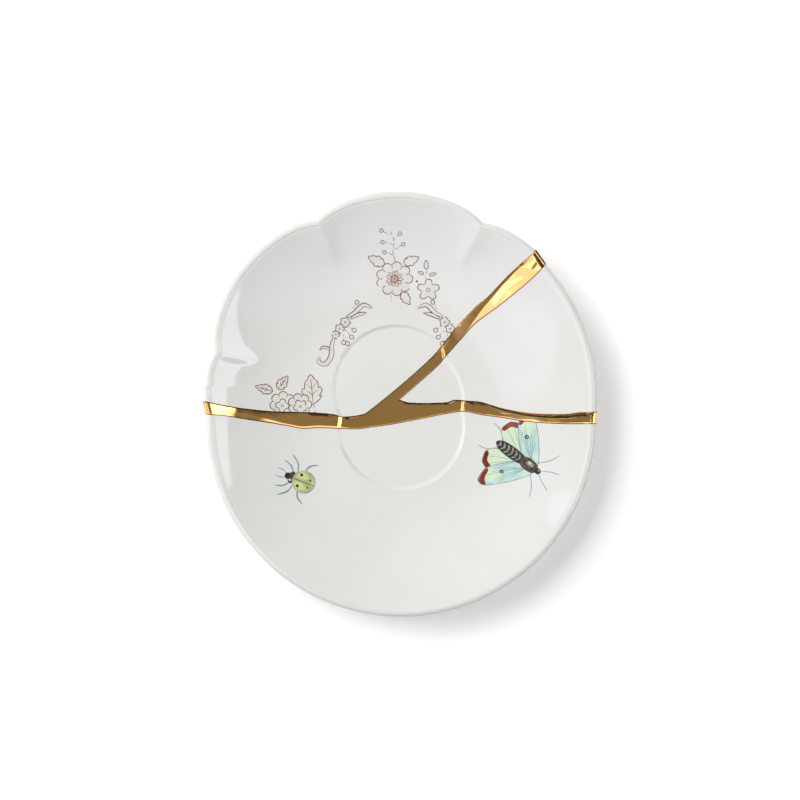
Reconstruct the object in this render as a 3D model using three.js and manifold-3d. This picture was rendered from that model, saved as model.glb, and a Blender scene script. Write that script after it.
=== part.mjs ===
// A mended porcelain saucer: three fragments of unlike saucers held together by one forked seam of gold.
// Millimetres, +Z up, +Y towards the top lobe. It stands on the arcs of the fragments' foot rings.
import * as THREE from "three";
import { mergeVertices } from "three/addons/utils/BufferGeometryUtils.js";
import Module from "manifold-3d";

// Driving dimensions of the saucers
const rimRadius = 78;
const rimHeight = 20;
const rimSlopeDegrees = 26;
const wallThickness = 3.6;
const wellRadius = 25.2;
const wellDepth = 0.9;
const wellStepWidth = 2.2;
const floorThickness = 3.4;
const footHeight = 3;
const footRadius = 42;
const footWidth = 2.6;
const footFlare = 1.2;
const toeFlareShare = 0.3;
const toeHeightShare = 0.15;

// Driving dimensions of the lobed saucer's scalloped rim
const lobeStepDegrees = 53.3;
const topLobeDegrees = 88.9;
const lobeRounding = 0.253;
const lobedRimExcess = 0.6;
const lobeFadeWidth = 24;

// Driving dimensions of the gold seam
const goldProud = 0.4;
const goldBevel = 0.9;
const goldFootClearance = 0.2;
const fitGap = 0.3;
const hubShare = 0.7;
const hubOverlap = 1;
const widestBevelShare = 0.3;

// How finely the round forms are divided
const plainSegments = 96;
const segmentsPerLobe = 14;
const wallSteps = 9;
const undersideSteps = 5;
const lipSteps = 6;
const wellStepPoints = 4;
const edgeSpacing = 2.4;
const blockCorners = 10;
const bisections = 40;
const mergeTolerance = 1e-4;

// The saucers that the fragments came from, each out of line with the others: where its rim and its well
// are centred, as shares of the rim radius
const lobedSaucer = { rim: [-0.024, 0.081], well: [-0.023, 0.076], lobed: true };
const rightSaucer = { rim: [0.006, 0.035], well: [0.001, -0.003], lobed: false };
const lowerSaucer = { rim: [0.001, -0.095], well: [0.001, -0.116], lobed: false };

// The four edges of the seam, outline points as shares of the rim radius. The left edge runs from the west
// rim by the fork to the north-east rim, the next two from the fork outwards, the last from east to west.
const lobedEdgePoints = [
  [-0.999, 0.008], [-0.844, -0.022], [-0.668, -0.041], [-0.467, -0.047], [-0.354, -0.056], [-0.305, -0.069],
  [-0.246, -0.066], [-0.192, -0.055], [-0.149, -0.027], [0, 0.094], [0.151, 0.229], [0.215, 0.301],
  [0.292, 0.399], [0.382, 0.494], [0.45, 0.55], [0.554, 0.659], [0.671, 0.765],
];
const forkToNorthEastPoints = [
  [-0.008, 0.019], [0.127, 0.136], [0.191, 0.195], [0.227, 0.237], [0.323, 0.346], [0.388, 0.415],
  [0.519, 0.512], [0.656, 0.624], [0.732, 0.7],
];
const forkToEastPoints = [
  [-0.008, 0.019], [0.054, 0.003], [0.226, 0.004], [0.274, 0.017], [0.338, 0.013], [0.415, 0.006],
  [0.505, -0.021], [0.656, -0.049], [0.828, -0.055], [0.918, -0.046], [1.004, -0.044],
];
const lowerEdgePoints = [
  [1.004, -0.104], [0.863, -0.106], [0.726, -0.1], [0.622, -0.09], [0.519, -0.073], [0.415, -0.059],
  [0.323, -0.042], [0.226, -0.055], [0.108, -0.079], [-0.045, -0.108], [-0.144, -0.122], [-0.217, -0.132],
  [-0.329, -0.13], [-0.427, -0.126], [-0.51, -0.13], [-0.599, -0.113], [-0.786, -0.083], [-0.894, -0.065],
  [-0.996, -0.055],
];

const degrees = Math.PI / 180;
const floorHeight = footHeight + floorThickness;
const shoulderHeight = floorHeight + wellDepth;
const shoulderRadius = wellRadius + wellStepWidth / 2;
const rimSlope = rimSlopeDegrees * degrees;
const lipRadius = wallThickness / 2;
const hubReach = hubShare * (wellRadius - wellStepWidth / 2);
const farOut = 2 * rimRadius;
const edgeOverrun = 0.2;

const wasm = await Module();
wasm.setup();

// Turns a closed three.js geometry into a solid
function solidFrom(geometry) {
  const bare = geometry.clone();
  bare.deleteAttribute("normal");
  bare.deleteAttribute("uv");
  const merged = mergeVertices(bare, mergeTolerance);
  const vertProperties = merged.attributes.position.array;
  const triVerts = new Uint32Array(merged.index.array);
  return new wasm.Manifold(new wasm.Mesh({ numProp: 3, vertProperties, triVerts }));
}

// Turns a solid back into a flat-shaded geometry
function geometryFrom(solid) {
  const mesh = solid.getMesh();
  const geometry = new THREE.BufferGeometry();
  geometry.setAttribute("position", new THREE.BufferAttribute(mesh.vertProperties, 3));
  geometry.setIndex(new THREE.BufferAttribute(mesh.triVerts, 1));
  const flat = geometry.toNonIndexed();
  flat.computeVertexNormals();
  return flat;
}

// The saucer's half section as one outline: from the middle of the well out over the wall, round the lip and
// back under the foot ring. Points are (radius, height).
function saucerProfile() {
  const lipCentre = new THREE.Vector2(rimRadius - lipRadius, rimHeight - lipRadius);
  const wallNormal = new THREE.Vector2(-Math.sin(rimSlope), Math.cos(rimSlope));
  const wallEnd = lipCentre.clone().addScaledVector(wallNormal, lipRadius);
  const wallRun = wallEnd.x - shoulderRadius;
  const wallRise = wallEnd.y - shoulderHeight;
  const curvePower = (Math.tan(rimSlope) * wallRun) / wallRise;
  const wallPoint = (share) =>
    new THREE.Vector2(shoulderRadius + wallRun * share, shoulderHeight + wallRise * share ** curvePower);
  const wallAngle = (share) => Math.atan(((curvePower * wallRise) / wallRun) * share ** (curvePower - 1));
  const points = [new THREE.Vector2(0, floorHeight)];
  for (let step = 0; step < wellStepPoints; step += 1) {
    const share = step / wellStepPoints;
    const radius = shoulderRadius + wellStepWidth * (share - 1);
    points.push(new THREE.Vector2(radius, floorHeight + wellDepth * THREE.MathUtils.smoothstep(share, 0, 1)));
  }
  for (let step = 0; step <= wallSteps; step += 1) points.push(wallPoint(step / wallSteps));
  for (let step = 1; step < lipSteps; step += 1) {
    const angle = rimSlope + Math.PI * (0.5 - step / lipSteps);
    const outward = new THREE.Vector2(Math.cos(angle), Math.sin(angle));
    points.push(lipCentre.clone().addScaledVector(outward, lipRadius));
  }
  const footOuter = footRadius + footWidth / 2;
  const footInner = footRadius - footWidth / 2;
  const underStart = (footOuter + footFlare - shoulderRadius) / wallRun;
  for (let step = undersideSteps; step >= 0; step -= 1) {
    const share = THREE.MathUtils.lerp(underStart, 1, step / undersideSteps);
    const angle = wallAngle(share);
    const inward = new THREE.Vector2(Math.sin(angle), -Math.cos(angle)).multiplyScalar(wallThickness);
    points.push(wallPoint(share).add(inward));
  }
  points.push(new THREE.Vector2(footOuter + toeFlareShare * footFlare, toeHeightShare * footHeight));
  points.push(new THREE.Vector2(footOuter, 0));
  points.push(new THREE.Vector2(footInner, 0));
  points.push(new THREE.Vector2(footInner - toeFlareShare * footFlare, toeHeightShare * footHeight));
  points.push(new THREE.Vector2(footInner - footFlare, footHeight));
  points.push(new THREE.Vector2(0, footHeight));
  return points;
}

// How far a lobed rim reaches at a bearing, as a share of its reach at the top of a lobe
function scallop(bearing) {
  const step = lobeStepDegrees * degrees;
  const fromTop = bearing - topLobeDegrees * degrees;
  const offLobe = fromTop - step * Math.round(fromTop / step);
  const lobeShare = 1 - lobeRounding;
  return lobeRounding * Math.cos(offLobe) + Math.sqrt(lobeShare ** 2 - (lobeRounding * Math.sin(offLobe)) ** 2);
}

// The place in plan of a saucer's point: the rings slide from the well's centre to the rim's, and the lobes
// fade out down the wall
function planPoint(saucer, bearing, radius) {
  const out = THREE.MathUtils.smoothstep(radius, shoulderRadius, rimRadius);
  const centreX = rimRadius * THREE.MathUtils.lerp(saucer.well[0], saucer.rim[0], out);
  const centreY = rimRadius * THREE.MathUtils.lerp(saucer.well[1], saucer.rim[1], out);
  let reach = radius;
  if (saucer.lobed) {
    const fade = THREE.MathUtils.smoothstep(radius, rimRadius - lobeFadeWidth, rimRadius);
    const rimReach = (1 + lobedRimExcess / rimRadius) * scallop(bearing);
    reach = radius * THREE.MathUtils.lerp(1, rimReach, fade);
  }
  return new THREE.Vector2(centreX + reach * Math.cos(bearing), centreY + reach * Math.sin(bearing));
}

// The profile radius at which a saucer passes through a plan point
function radiusAt(saucer, point) {
  let low = 0;
  let high = farOut;
  for (let turn = 0; turn < bisections; turn += 1) {
    const middle = (low + high) / 2;
    const centre = planPoint(saucer, 0, middle).sub(planPoint({ ...saucer, rim: [0, 0], well: [0, 0] }, 0, middle));
    const fromCentre = point.clone().sub(centre);
    const bearing = Math.atan2(fromCentre.y, fromCentre.x);
    const reach = planPoint(saucer, bearing, middle).distanceTo(centre);
    if (reach < fromCentre.length()) low = middle;
    else high = middle;
  }
  return (low + high) / 2;
}

// Bearings of the section planes, with one on every notch between lobes
function bearingsOf(saucer) {
  if (!saucer.lobed) return Array.from({ length: plainSegments }, (_, i) => (i / plainSegments) * 2 * Math.PI);
  const step = (lobeStepDegrees * degrees) / segmentsPerLobe;
  const lobesToFirstNotch = 3.5;
  const first = (topLobeDegrees - lobesToFirstNotch * lobeStepDegrees) * degrees;
  const count = Math.floor((2 * Math.PI - step / 2) / step) + 1;
  return Array.from({ length: count }, (_, i) => first + i * step);
}

// A whole saucer: its profile carried round all bearings, closed on the axis above and below
function wholeSaucer(saucer, profile) {
  const bearings = bearingsOf(saucer);
  const rings = profile.slice(1, -1);
  const positions = [];
  for (const bearing of bearings) {
    for (const point of rings) {
      const place = planPoint(saucer, bearing, point.x);
      positions.push(place.x, place.y, point.y);
    }
  }
  const axis = planPoint(saucer, 0, 0);
  positions.push(axis.x, axis.y, profile[0].y);
  positions.push(axis.x, axis.y, profile[profile.length - 1].y);
  const topPole = bearings.length * rings.length;
  const index = [];
  bearings.forEach((_, i) => {
    const here = i * rings.length;
    const next = ((i + 1) % bearings.length) * rings.length;
    index.push(topPole, here, next);
    for (let j = 0; j < rings.length - 1; j += 1) {
      index.push(here + j, here + j + 1, next + j);
      index.push(next + j, here + j + 1, next + j + 1);
    }
    const last = rings.length - 1;
    index.push(here + last, topPole + 1, next + last);
  });
  return solidFrom(indexedGeometry(positions, index));
}

function indexedGeometry(positions, index) {
  const geometry = new THREE.BufferGeometry();
  geometry.setAttribute("position", new THREE.Float32BufferAttribute(positions, 3));
  geometry.setIndex(index);
  return geometry;
}

// A smooth edge through its outline points, run on past the rim at the ends that are asked for
function edgeLine(shares, overrunStart, overrunEnd) {
  const points = shares.map(([x, y]) => new THREE.Vector2(x, y).multiplyScalar(rimRadius));
  const curve = new THREE.SplineCurve(points);
  const line = curve.getSpacedPoints(Math.ceil(curve.getLength() / edgeSpacing));
  if (overrunStart) line.unshift(line[0].clone().multiplyScalar(1 + edgeOverrun));
  if (overrunEnd) line.push(line[line.length - 1].clone().multiplyScalar(1 + edgeOverrun));
  return line;
}

// An edge moved sideways, to its left where the distance is positive
function offsetLine(line, distance) {
  return line.map((point, i) => {
    const along = line[Math.min(i + 1, line.length - 1)].clone().sub(line[Math.max(i - 1, 0)]).normalize();
    return new THREE.Vector2(point.x - along.y * distance, point.y + along.x * distance);
  });
}

// An upright block that covers everything to the left of an edge
function leftOf(line) {
  const outline = offsetLine(line, fitGap);
  const first = outline[0];
  const last = outline[outline.length - 1];
  const start = Math.atan2(last.y, last.x);
  let turn = Math.atan2(first.y, first.x) - start;
  if (turn <= 0) turn += 2 * Math.PI;
  for (let corner = 0; corner <= blockCorners; corner += 1) {
    const bearing = start + (turn * corner) / blockCorners;
    outline.push(new THREE.Vector2(Math.cos(bearing), Math.sin(bearing)).multiplyScalar(farOut));
  }
  const block = new THREE.ExtrudeGeometry(new THREE.Shape(outline), { depth: 3 * rimHeight, bevelEnabled: false });
  block.translate(0, 0, -rimHeight);
  return solidFrom(block);
}

// The profile swollen by a distance, kept clear of the ground that the foot stands on
function swollenProfile(profile, distance) {
  return profile.map((point, i) => {
    const before = profile[Math.max(i - 1, 0)];
    const after = profile[Math.min(i + 1, profile.length - 1)];
    const along = after.clone().sub(before).normalize();
    const radius = point.x - along.y * distance;
    const height = point.y + along.x * distance;
    return new THREE.Vector2(radius, Math.max(height, goldFootClearance));
  });
}

// The part of the profile outside the hub, from its top round to its underside, with no long steps
function outsideHub(profile) {
  const kept = profile.filter((point) => point.x > hubReach);
  const top = new THREE.Vector2(hubReach, profile[0].y);
  const under = new THREE.Vector2(hubReach, profile[profile.length - 1].y);
  const rows = [top];
  for (const point of [...kept, under]) {
    const last = rows[rows.length - 1];
    const steps = Math.ceil(last.distanceTo(point) / edgeSpacing);
    for (let step = 1; step <= steps; step += 1) rows.push(last.clone().lerp(point, step / steps));
  }
  return rows;
}

// One side of a branch, its edge taken from the fork outwards: where it is at a profile radius, and the run
// of it that borders the hub
function branchSide(saucer, line) {
  const radii = line.map((point) => radiusAt(saucer, point));
  const at = (radius) => {
    let i = 1;
    while (i < line.length - 1 && radii[i] < radius) i += 1;
    const share = (radius - radii[i - 1]) / (radii[i] - radii[i - 1]);
    return line[i - 1].clone().lerp(line[i], share);
  };
  const hubEnd = hubReach + hubOverlap;
  const hubRun = [...line.filter((_, i) => radii[i] < hubEnd - edgeSpacing), at(hubEnd)];
  return { at, hubRun };
}

// A branch of the seam: a gold band with bevelled edges that follows the profile over the wall, round the lip
// and back below. The sides are named for someone who looks outwards.
function branchSolid(leftSide, rightSide, profile) {
  const rowProfile = outsideHub(profile);
  const flush = swollenProfile(rowProfile, 0);
  const proud = swollenProfile(rowProfile, goldProud);
  const columns = 4;
  const positions = [];
  flush.forEach((_, row) => {
    const width = leftSide.at(flush[row].x).distanceTo(rightSide.at(flush[row].x));
    const bevel = Math.min(widestBevelShare, goldBevel / width);
    [0, bevel, 1 - bevel, 1].forEach((share, column) => {
      const onEdge = column === 0 || column === columns - 1;
      const point = onEdge ? flush[row] : proud[row];
      const place = leftSide.at(point.x).lerp(rightSide.at(point.x), share);
      positions.push(place.x, place.y, point.y);
    });
  });
  const rows = flush.length;
  const lipRow = flush.reduce((best, point, row) => (point.x > flush[best].x ? row : best), 0);
  const at = (row, column) => row * columns + column;
  const index = [];
  const quad = (a, b, c, d) => index.push(a, b, c, a, c, d);
  for (let row = 0; row < rows - 1; row += 1) {
    for (let column = 0; column < columns - 1; column += 1) {
      quad(at(row, column), at(row, column + 1), at(row + 1, column + 1), at(row + 1, column));
    }
  }
  for (let column = 0; column < columns - 1; column += 1) {
    quad(at(0, column + 1), at(0, column), at(rows - 1, column), at(rows - 1, column + 1));
  }
  let top = 0;
  let under = rows - 1;
  while (top < lipRow || under > lipRow + 1) {
    const stepTop = under === lipRow + 1 || (top < lipRow && flush[top + 1].x <= flush[under - 1].x);
    const corner = stepTop ? top + 1 : under - 1;
    index.push(at(top, 0), at(corner, 0), at(under, 0));
    index.push(at(top, columns - 1), at(under, columns - 1), at(corner, columns - 1));
    if (stepTop) top = corner;
    else under = corner;
  }
  return solidFrom(indexedGeometry(positions, index));
}

// The hub of the seam, a bevelled plate that fills the fork in the flat of the well
function hubSolid(sides) {
  const outline = [
    ...sides.westLobed.hubRun.toReversed(),
    ...sides.northEastLobed.hubRun.slice(1),
    ...sides.northEastRight.hubRun.toReversed(),
    ...sides.eastRight.hubRun.slice(1),
    ...sides.eastLower.hubRun.toReversed(),
    ...sides.westLower.hubRun.slice(1),
  ];
  const plate = new THREE.ExtrudeGeometry(new THREE.Shape(outline), {
    depth: floorHeight - footHeight,
    bevelThickness: goldProud,
    bevelSize: goldBevel,
    bevelOffset: -goldBevel,
    bevelSegments: 1,
  });
  plate.translate(0, 0, footHeight);
  return solidFrom(plate);
}

// Splits the lobed edge where it passes nearest to the well's centre, both halves running outwards
function splitAtFork(line) {
  const centre = planPoint(lobedSaucer, 0, 0);
  const nearest = line.reduce((best, point) => (point.distanceTo(centre) < best.distanceTo(centre) ? point : best));
  const turn = line.indexOf(nearest);
  return [line.slice(0, turn + 1).reverse(), line.slice(turn)];
}

// Splits the lower edge at the fork's middle, both halves running outwards
function splitAtMiddle(line) {
  const turn = line.findIndex((point) => point.x < planPoint(lowerSaucer, 0, 0).x);
  return [line.slice(0, turn + 1).reverse(), line.slice(turn)];
}

function seamEdges() {
  return {
    lobed: edgeLine(lobedEdgePoints, true, true),
    forkToNorthEast: edgeLine(forkToNorthEastPoints, false, true),
    forkToEast: edgeLine(forkToEastPoints, false, true),
    lower: edgeLine(lowerEdgePoints, true, true),
  };
}

function goldSeam(profile, edges) {
  const [lobedWest, lobedNorthEast] = splitAtFork(edges.lobed);
  const [lowerEast, lowerWest] = splitAtMiddle(edges.lower);
  const sides = {
    westLobed: branchSide(lobedSaucer, lobedWest),
    westLower: branchSide(lowerSaucer, lowerWest),
    northEastLobed: branchSide(lobedSaucer, lobedNorthEast),
    northEastRight: branchSide(rightSaucer, edges.forkToNorthEast),
    eastRight: branchSide(rightSaucer, edges.forkToEast),
    eastLower: branchSide(lowerSaucer, lowerEast),
  };
  const west = branchSolid(sides.westLower, sides.westLobed, profile);
  const northEast = branchSolid(sides.northEastLobed, sides.northEastRight, profile);
  const east = branchSolid(sides.eastRight, sides.eastLower, profile);
  return geometryFrom(hubSolid(sides).add(west).add(northEast).add(east));
}

// A run of an edge backwards past the fork, so that its block covers the whole saucer
function pastFork(line) {
  const backwards = line[0].clone().sub(line[2]).setLength(rimRadius);
  return [line[0].clone().add(backwards), ...line];
}

function lobedFragment(profile, edges) {
  return geometryFrom(wholeSaucer(lobedSaucer, profile).intersect(leftOf(edges.lobed)));
}

function rightFragment(profile, edges) {
  const aboveEast = leftOf(pastFork(edges.forkToEast));
  const besideNorthEast = leftOf(pastFork(edges.forkToNorthEast).reverse());
  return geometryFrom(wholeSaucer(rightSaucer, profile).intersect(aboveEast).intersect(besideNorthEast));
}

function lowerFragment(profile, edges) {
  return geometryFrom(wholeSaucer(lowerSaucer, profile).intersect(leftOf(edges.lower)));
}

function addPiece(group, name, geometry, material) {
  const piece = new THREE.Mesh(geometry, material);
  piece.name = name;
  group.add(piece);
}

const porcelain = new THREE.MeshStandardMaterial({ color: 0xe9eae6, roughness: 0.1, metalness: 0 });
const gold = new THREE.MeshStandardMaterial({ color: 0xd9ab52, roughness: 0.12, metalness: 1 });

const profile = saucerProfile();
const edges = seamEdges();
const saucer = new THREE.Group();
addPiece(saucer, "lobed_fragment", lobedFragment(profile, edges), porcelain);
addPiece(saucer, "right_fragment", rightFragment(profile, edges), porcelain.clone());
addPiece(saucer, "lower_fragment", lowerFragment(profile, edges), porcelain.clone());
addPiece(saucer, "gold_seam", goldSeam(profile, edges), gold);

// The origin is on the ground below the middle of the whole saucer
const box = new THREE.Box3().setFromObject(saucer);
const middle = box.getCenter(new THREE.Vector3());
saucer.position.set(-middle.x, -middle.y, -box.min.z);

export default saucer;
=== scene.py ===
# A mended saucer for Blender: fine glazed fragments with painted sprigs and insects, joined by a gold seam.
# Lengths are in millimetres, but those of the finished meshes, the glaze's bumps and the stage are in metres.
import math
import random

import bpy
import numpy as np
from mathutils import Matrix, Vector
from mathutils.geometry import delaunay_2d_cdt


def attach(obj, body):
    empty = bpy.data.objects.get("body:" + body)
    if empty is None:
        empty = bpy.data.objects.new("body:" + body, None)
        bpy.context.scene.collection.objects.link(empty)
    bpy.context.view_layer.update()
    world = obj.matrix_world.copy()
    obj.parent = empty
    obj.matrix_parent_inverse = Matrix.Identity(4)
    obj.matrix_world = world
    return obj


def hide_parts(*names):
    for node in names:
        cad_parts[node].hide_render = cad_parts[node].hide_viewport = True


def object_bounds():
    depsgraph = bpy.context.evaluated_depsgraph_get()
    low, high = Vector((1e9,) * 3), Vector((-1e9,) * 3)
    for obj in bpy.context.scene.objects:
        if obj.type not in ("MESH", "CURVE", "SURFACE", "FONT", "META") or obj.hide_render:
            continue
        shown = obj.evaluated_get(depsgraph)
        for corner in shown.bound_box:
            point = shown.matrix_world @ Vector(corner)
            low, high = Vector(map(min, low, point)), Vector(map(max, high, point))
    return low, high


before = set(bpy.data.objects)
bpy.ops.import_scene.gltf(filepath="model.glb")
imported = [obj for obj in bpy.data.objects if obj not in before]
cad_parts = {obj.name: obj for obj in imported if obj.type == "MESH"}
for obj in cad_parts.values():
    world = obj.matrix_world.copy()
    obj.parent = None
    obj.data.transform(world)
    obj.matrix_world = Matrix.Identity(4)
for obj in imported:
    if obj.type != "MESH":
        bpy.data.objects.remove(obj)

cad_low, cad_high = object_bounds()
MM = 0.001

# Sizes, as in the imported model
RIM_RADIUS = 78.0
RIM_HEIGHT = 20.0
RIM_SLOPE = math.radians(26.0)
WALL_THICKNESS = 3.6
WELL_RADIUS = 25.2
WELL_DEPTH = 0.9
WELL_STEP_WIDTH = 2.2
FLOOR_THICKNESS = 3.4
FOOT_HEIGHT = 3.0
FOOT_RADIUS = 42.0
FOOT_WIDTH = 2.6
FOOT_FLARE = 1.2
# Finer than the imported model: the well's glazed step, and a fine groove along the lip's inner edge
GLAZE_STEP_WIDTH = 1.9
GROOVE_DEPTH = 0.11
GROOVE_HALF_WIDTH = 0.42
GROOVE_INSIDE_RIM = 3.0
LOBE_STEP = math.radians(53.3)
TOP_LOBE = math.radians(88.9)
LOBE_ROUNDING = 0.253
LOBED_RIM_EXCESS = 0.6
LOBE_FADE_WIDTH = 24.0
# Each notch between two lobes is pinched further in, and its fold runs down the wall
PINCH_DEPTH = 0.03
PINCH_WIDTH = 0.048
PINCH_SOFTNESS = 0.03
PINCH_FULL_TO = 14.0
PINCH_GONE_AT = 28.0
PINCH_EASED_AT_RIM = 0.5
PINCH_EASED_FROM = 11.0
# The westernmost lobe reaches a little less far out: by how much, and where that sets in and fades out again
WEST_TRIM = 0.014
WEST_TRIM_FROM = np.radians([171.0, 183.0])
WEST_TRIM_TO = np.radians([230.0, 300.0])
# The rounding of the foot ring: its hollow's upper corner and its two lower corners, as steps out and up
FOOT_FILLET = [(-0.5, 0.0), (-0.15, -0.12), (0.0, -0.45)]
TOE_ROUNDING = [(-0.36, 0.45), (-0.12, 0.12), (0.1, 0.0)]

FLOOR_Z = FOOT_HEIGHT + FLOOR_THICKNESS
SHOULDER_Z = FLOOR_Z + WELL_DEPTH
SHOULDER_R = WELL_RADIUS + WELL_STEP_WIDTH / 2
LIP_RADIUS = WALL_THICKNESS / 2
LIP_R = RIM_RADIUS - LIP_RADIUS
LIP_Z = RIM_HEIGHT - LIP_RADIUS
WALL_END_R = LIP_R - LIP_RADIUS * math.sin(RIM_SLOPE)
WALL_END_Z = LIP_Z + LIP_RADIUS * math.cos(RIM_SLOPE)
WALL_RUN = WALL_END_R - SHOULDER_R
WALL_RISE = WALL_END_Z - SHOULDER_Z
POWER = math.tan(RIM_SLOPE) * WALL_RUN / WALL_RISE

# The model is centred on its box, so the seam's own frame is moved by this much
SHIFT = np.array([0.829, 0.253])

LOBED = {"rim": (-0.024, 0.081), "well": (-0.023, 0.076), "lobed": True}
RIGHT = {"rim": (0.006, 0.035), "well": (0.001, -0.003), "lobed": False}
LOWER = {"rim": (0.001, -0.095), "well": (0.001, -0.116), "lobed": False}

LOBED_EDGE = [
    (-0.999, 0.008), (-0.844, -0.022), (-0.668, -0.041), (-0.467, -0.047), (-0.354, -0.056), (-0.305, -0.069),
    (-0.246, -0.066), (-0.192, -0.055), (-0.149, -0.027), (0, 0.094), (0.151, 0.229), (0.215, 0.301),
    (0.292, 0.399), (0.382, 0.494), (0.45, 0.55), (0.554, 0.659), (0.671, 0.765),
]
FORK_TO_NORTH_EAST = [
    (-0.008, 0.019), (0.127, 0.136), (0.191, 0.195), (0.227, 0.237), (0.323, 0.346), (0.388, 0.415),
    (0.519, 0.512), (0.656, 0.624), (0.732, 0.7),
]
FORK_TO_EAST = [
    (-0.008, 0.019), (0.054, 0.003), (0.226, 0.004), (0.274, 0.017), (0.338, 0.013), (0.415, 0.006),
    (0.505, -0.021), (0.656, -0.049), (0.828, -0.055), (0.918, -0.046), (1.004, -0.044),
]
LOWER_EDGE = [
    (1.004, -0.104), (0.863, -0.106), (0.726, -0.1), (0.622, -0.09), (0.519, -0.073), (0.415, -0.059),
    (0.323, -0.042), (0.226, -0.055), (0.108, -0.079), (-0.045, -0.108), (-0.144, -0.122), (-0.217, -0.132),
    (-0.329, -0.13), (-0.427, -0.126), (-0.51, -0.13), (-0.599, -0.113), (-0.786, -0.083), (-0.894, -0.065),
    (-0.996, -0.055),
]


# The saucer's form
def smoothstep(value, low, high):
    share = np.clip((value - low) / (high - low), 0.0, 1.0)
    return share * share * (3 - 2 * share)


def top_profile(radius, step_width=GLAZE_STEP_WIDTH, groove_depth=GROOVE_DEPTH):
    """Height of the upper side at a profile radius, and its normal's outward and upward parts."""
    radius = np.asarray(radius, dtype=float)
    step_start = SHOULDER_R - WELL_STEP_WIDTH / 2 - step_width / 2
    in_step = np.clip((radius - step_start) / step_width, 0.0, 1.0)
    height = FLOOR_Z + WELL_DEPTH * in_step**2 * (3 - 2 * in_step)
    slope = WELL_DEPTH * 6 * in_step * (1 - in_step) / step_width
    share = np.clip((radius - SHOULDER_R) / WALL_RUN, 0.0, 1.0)
    height = height + WALL_RISE * share**POWER
    slope = slope + np.where(share > 0, POWER * WALL_RISE / WALL_RUN * share ** (POWER - 1), 0.0)
    in_groove = (radius - (RIM_RADIUS - GROOVE_INSIDE_RIM)) / GROOVE_HALF_WIDTH
    groove = groove_depth * np.exp(-(in_groove**2))
    height = height - groove
    slope = slope + groove * 2 * in_groove / GROOVE_HALF_WIDTH
    length = np.sqrt(1 + slope**2)
    outward, upward = -slope / length, 1 / length
    on_lip = radius > WALL_END_R
    cosine = np.clip((radius - LIP_R) / LIP_RADIUS, -1.0, 1.0)
    sine = np.sqrt(1 - cosine**2)
    height = np.where(on_lip, LIP_Z + LIP_RADIUS * sine, height)
    return height, np.where(on_lip, cosine, outward), np.where(on_lip, sine, upward)


def under_points():
    """The underside's half section, from the middle of the foot's hollow out to the lip's outermost point."""
    foot_outer = FOOT_RADIUS + FOOT_WIDTH / 2
    foot_inner = FOOT_RADIUS - FOOT_WIDTH / 2
    points = [(0.0, FOOT_HEIGHT)]
    points += [(foot_inner - FOOT_FLARE + out, FOOT_HEIGHT + up) for out, up in FOOT_FILLET]
    points += [(foot_inner + out, up) for out, up in TOE_ROUNDING]
    points += [(foot_outer - out, up) for out, up in reversed(TOE_ROUNDING)]
    start = (foot_outer + FOOT_FLARE - SHOULDER_R) / WALL_RUN
    for share in np.linspace(start, 1.0, 40):
        angle = math.atan(POWER * WALL_RISE / WALL_RUN * share ** (POWER - 1))
        radius = SHOULDER_R + WALL_RUN * share + WALL_THICKNESS * math.sin(angle)
        height = SHOULDER_Z + WALL_RISE * share**POWER - WALL_THICKNESS * math.cos(angle)
        points.append((radius, height))
    for angle in np.linspace(RIM_SLOPE - math.pi / 2, 0.0, 9)[1:]:
        points.append((LIP_R + LIP_RADIUS * math.cos(angle), LIP_Z + LIP_RADIUS * math.sin(angle)))
    return np.array(points)


UNDER = under_points()


def under_profile(radius):
    """Height of the underside at a profile radius, and its normal's outward and upward parts."""
    radius = np.asarray(radius, dtype=float)
    height = np.interp(radius, UNDER[:, 0], UNDER[:, 1])
    along = np.gradient(UNDER, axis=0)
    length = np.hypot(along[:, 0], along[:, 1])
    outward = np.interp(radius, UNDER[:, 0], along[:, 1] / length)
    upward = np.interp(radius, UNDER[:, 0], -along[:, 0] / length)
    lip_start = LIP_R + LIP_RADIUS * math.sin(RIM_SLOPE)
    on_lip = radius > lip_start
    cosine = np.clip((radius - LIP_R) / LIP_RADIUS, -1.0, 1.0)
    sine = -np.sqrt(1 - cosine**2)
    height = np.where(on_lip, LIP_Z + LIP_RADIUS * sine, height)
    return height, np.where(on_lip, cosine, outward), np.where(on_lip, sine, upward)


def scallop(bearing):
    """The reach of the lobed rim at a bearing, as a share of the round rim's."""
    from_top = bearing - TOP_LOBE
    off = from_top - LOBE_STEP * np.round(from_top / LOBE_STEP)
    share = 1 - LOBE_ROUNDING
    return LOBE_ROUNDING * np.cos(off) + np.sqrt(share**2 - (LOBE_ROUNDING * np.sin(off)) ** 2)


def west_trim(bearing):
    """How much less far out the westernmost lobe reaches, as a share of the reach."""
    turn = np.mod(bearing, 2 * math.pi)
    return WEST_TRIM * smoothstep(turn, *WEST_TRIM_FROM) * (1 - smoothstep(turn, *WEST_TRIM_TO))


def pinch(bearing):
    """How far a notch is pinched in at a bearing, as a share of the reach."""
    from_notch = bearing - TOP_LOBE - LOBE_STEP / 2
    off = from_notch - LOBE_STEP * np.round(from_notch / LOBE_STEP)
    soft = np.sqrt(off**2 + PINCH_SOFTNESS**2) - PINCH_SOFTNESS
    return PINCH_DEPTH * np.exp(-soft / PINCH_WIDTH)


def centre_at(saucer, radius):
    out = smoothstep(radius, SHOULDER_R, RIM_RADIUS)
    x = RIM_RADIUS * (saucer["well"][0] + (saucer["rim"][0] - saucer["well"][0]) * out)
    y = RIM_RADIUS * (saucer["well"][1] + (saucer["rim"][1] - saucer["well"][1]) * out)
    return np.stack([x, y], axis=-1)


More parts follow.
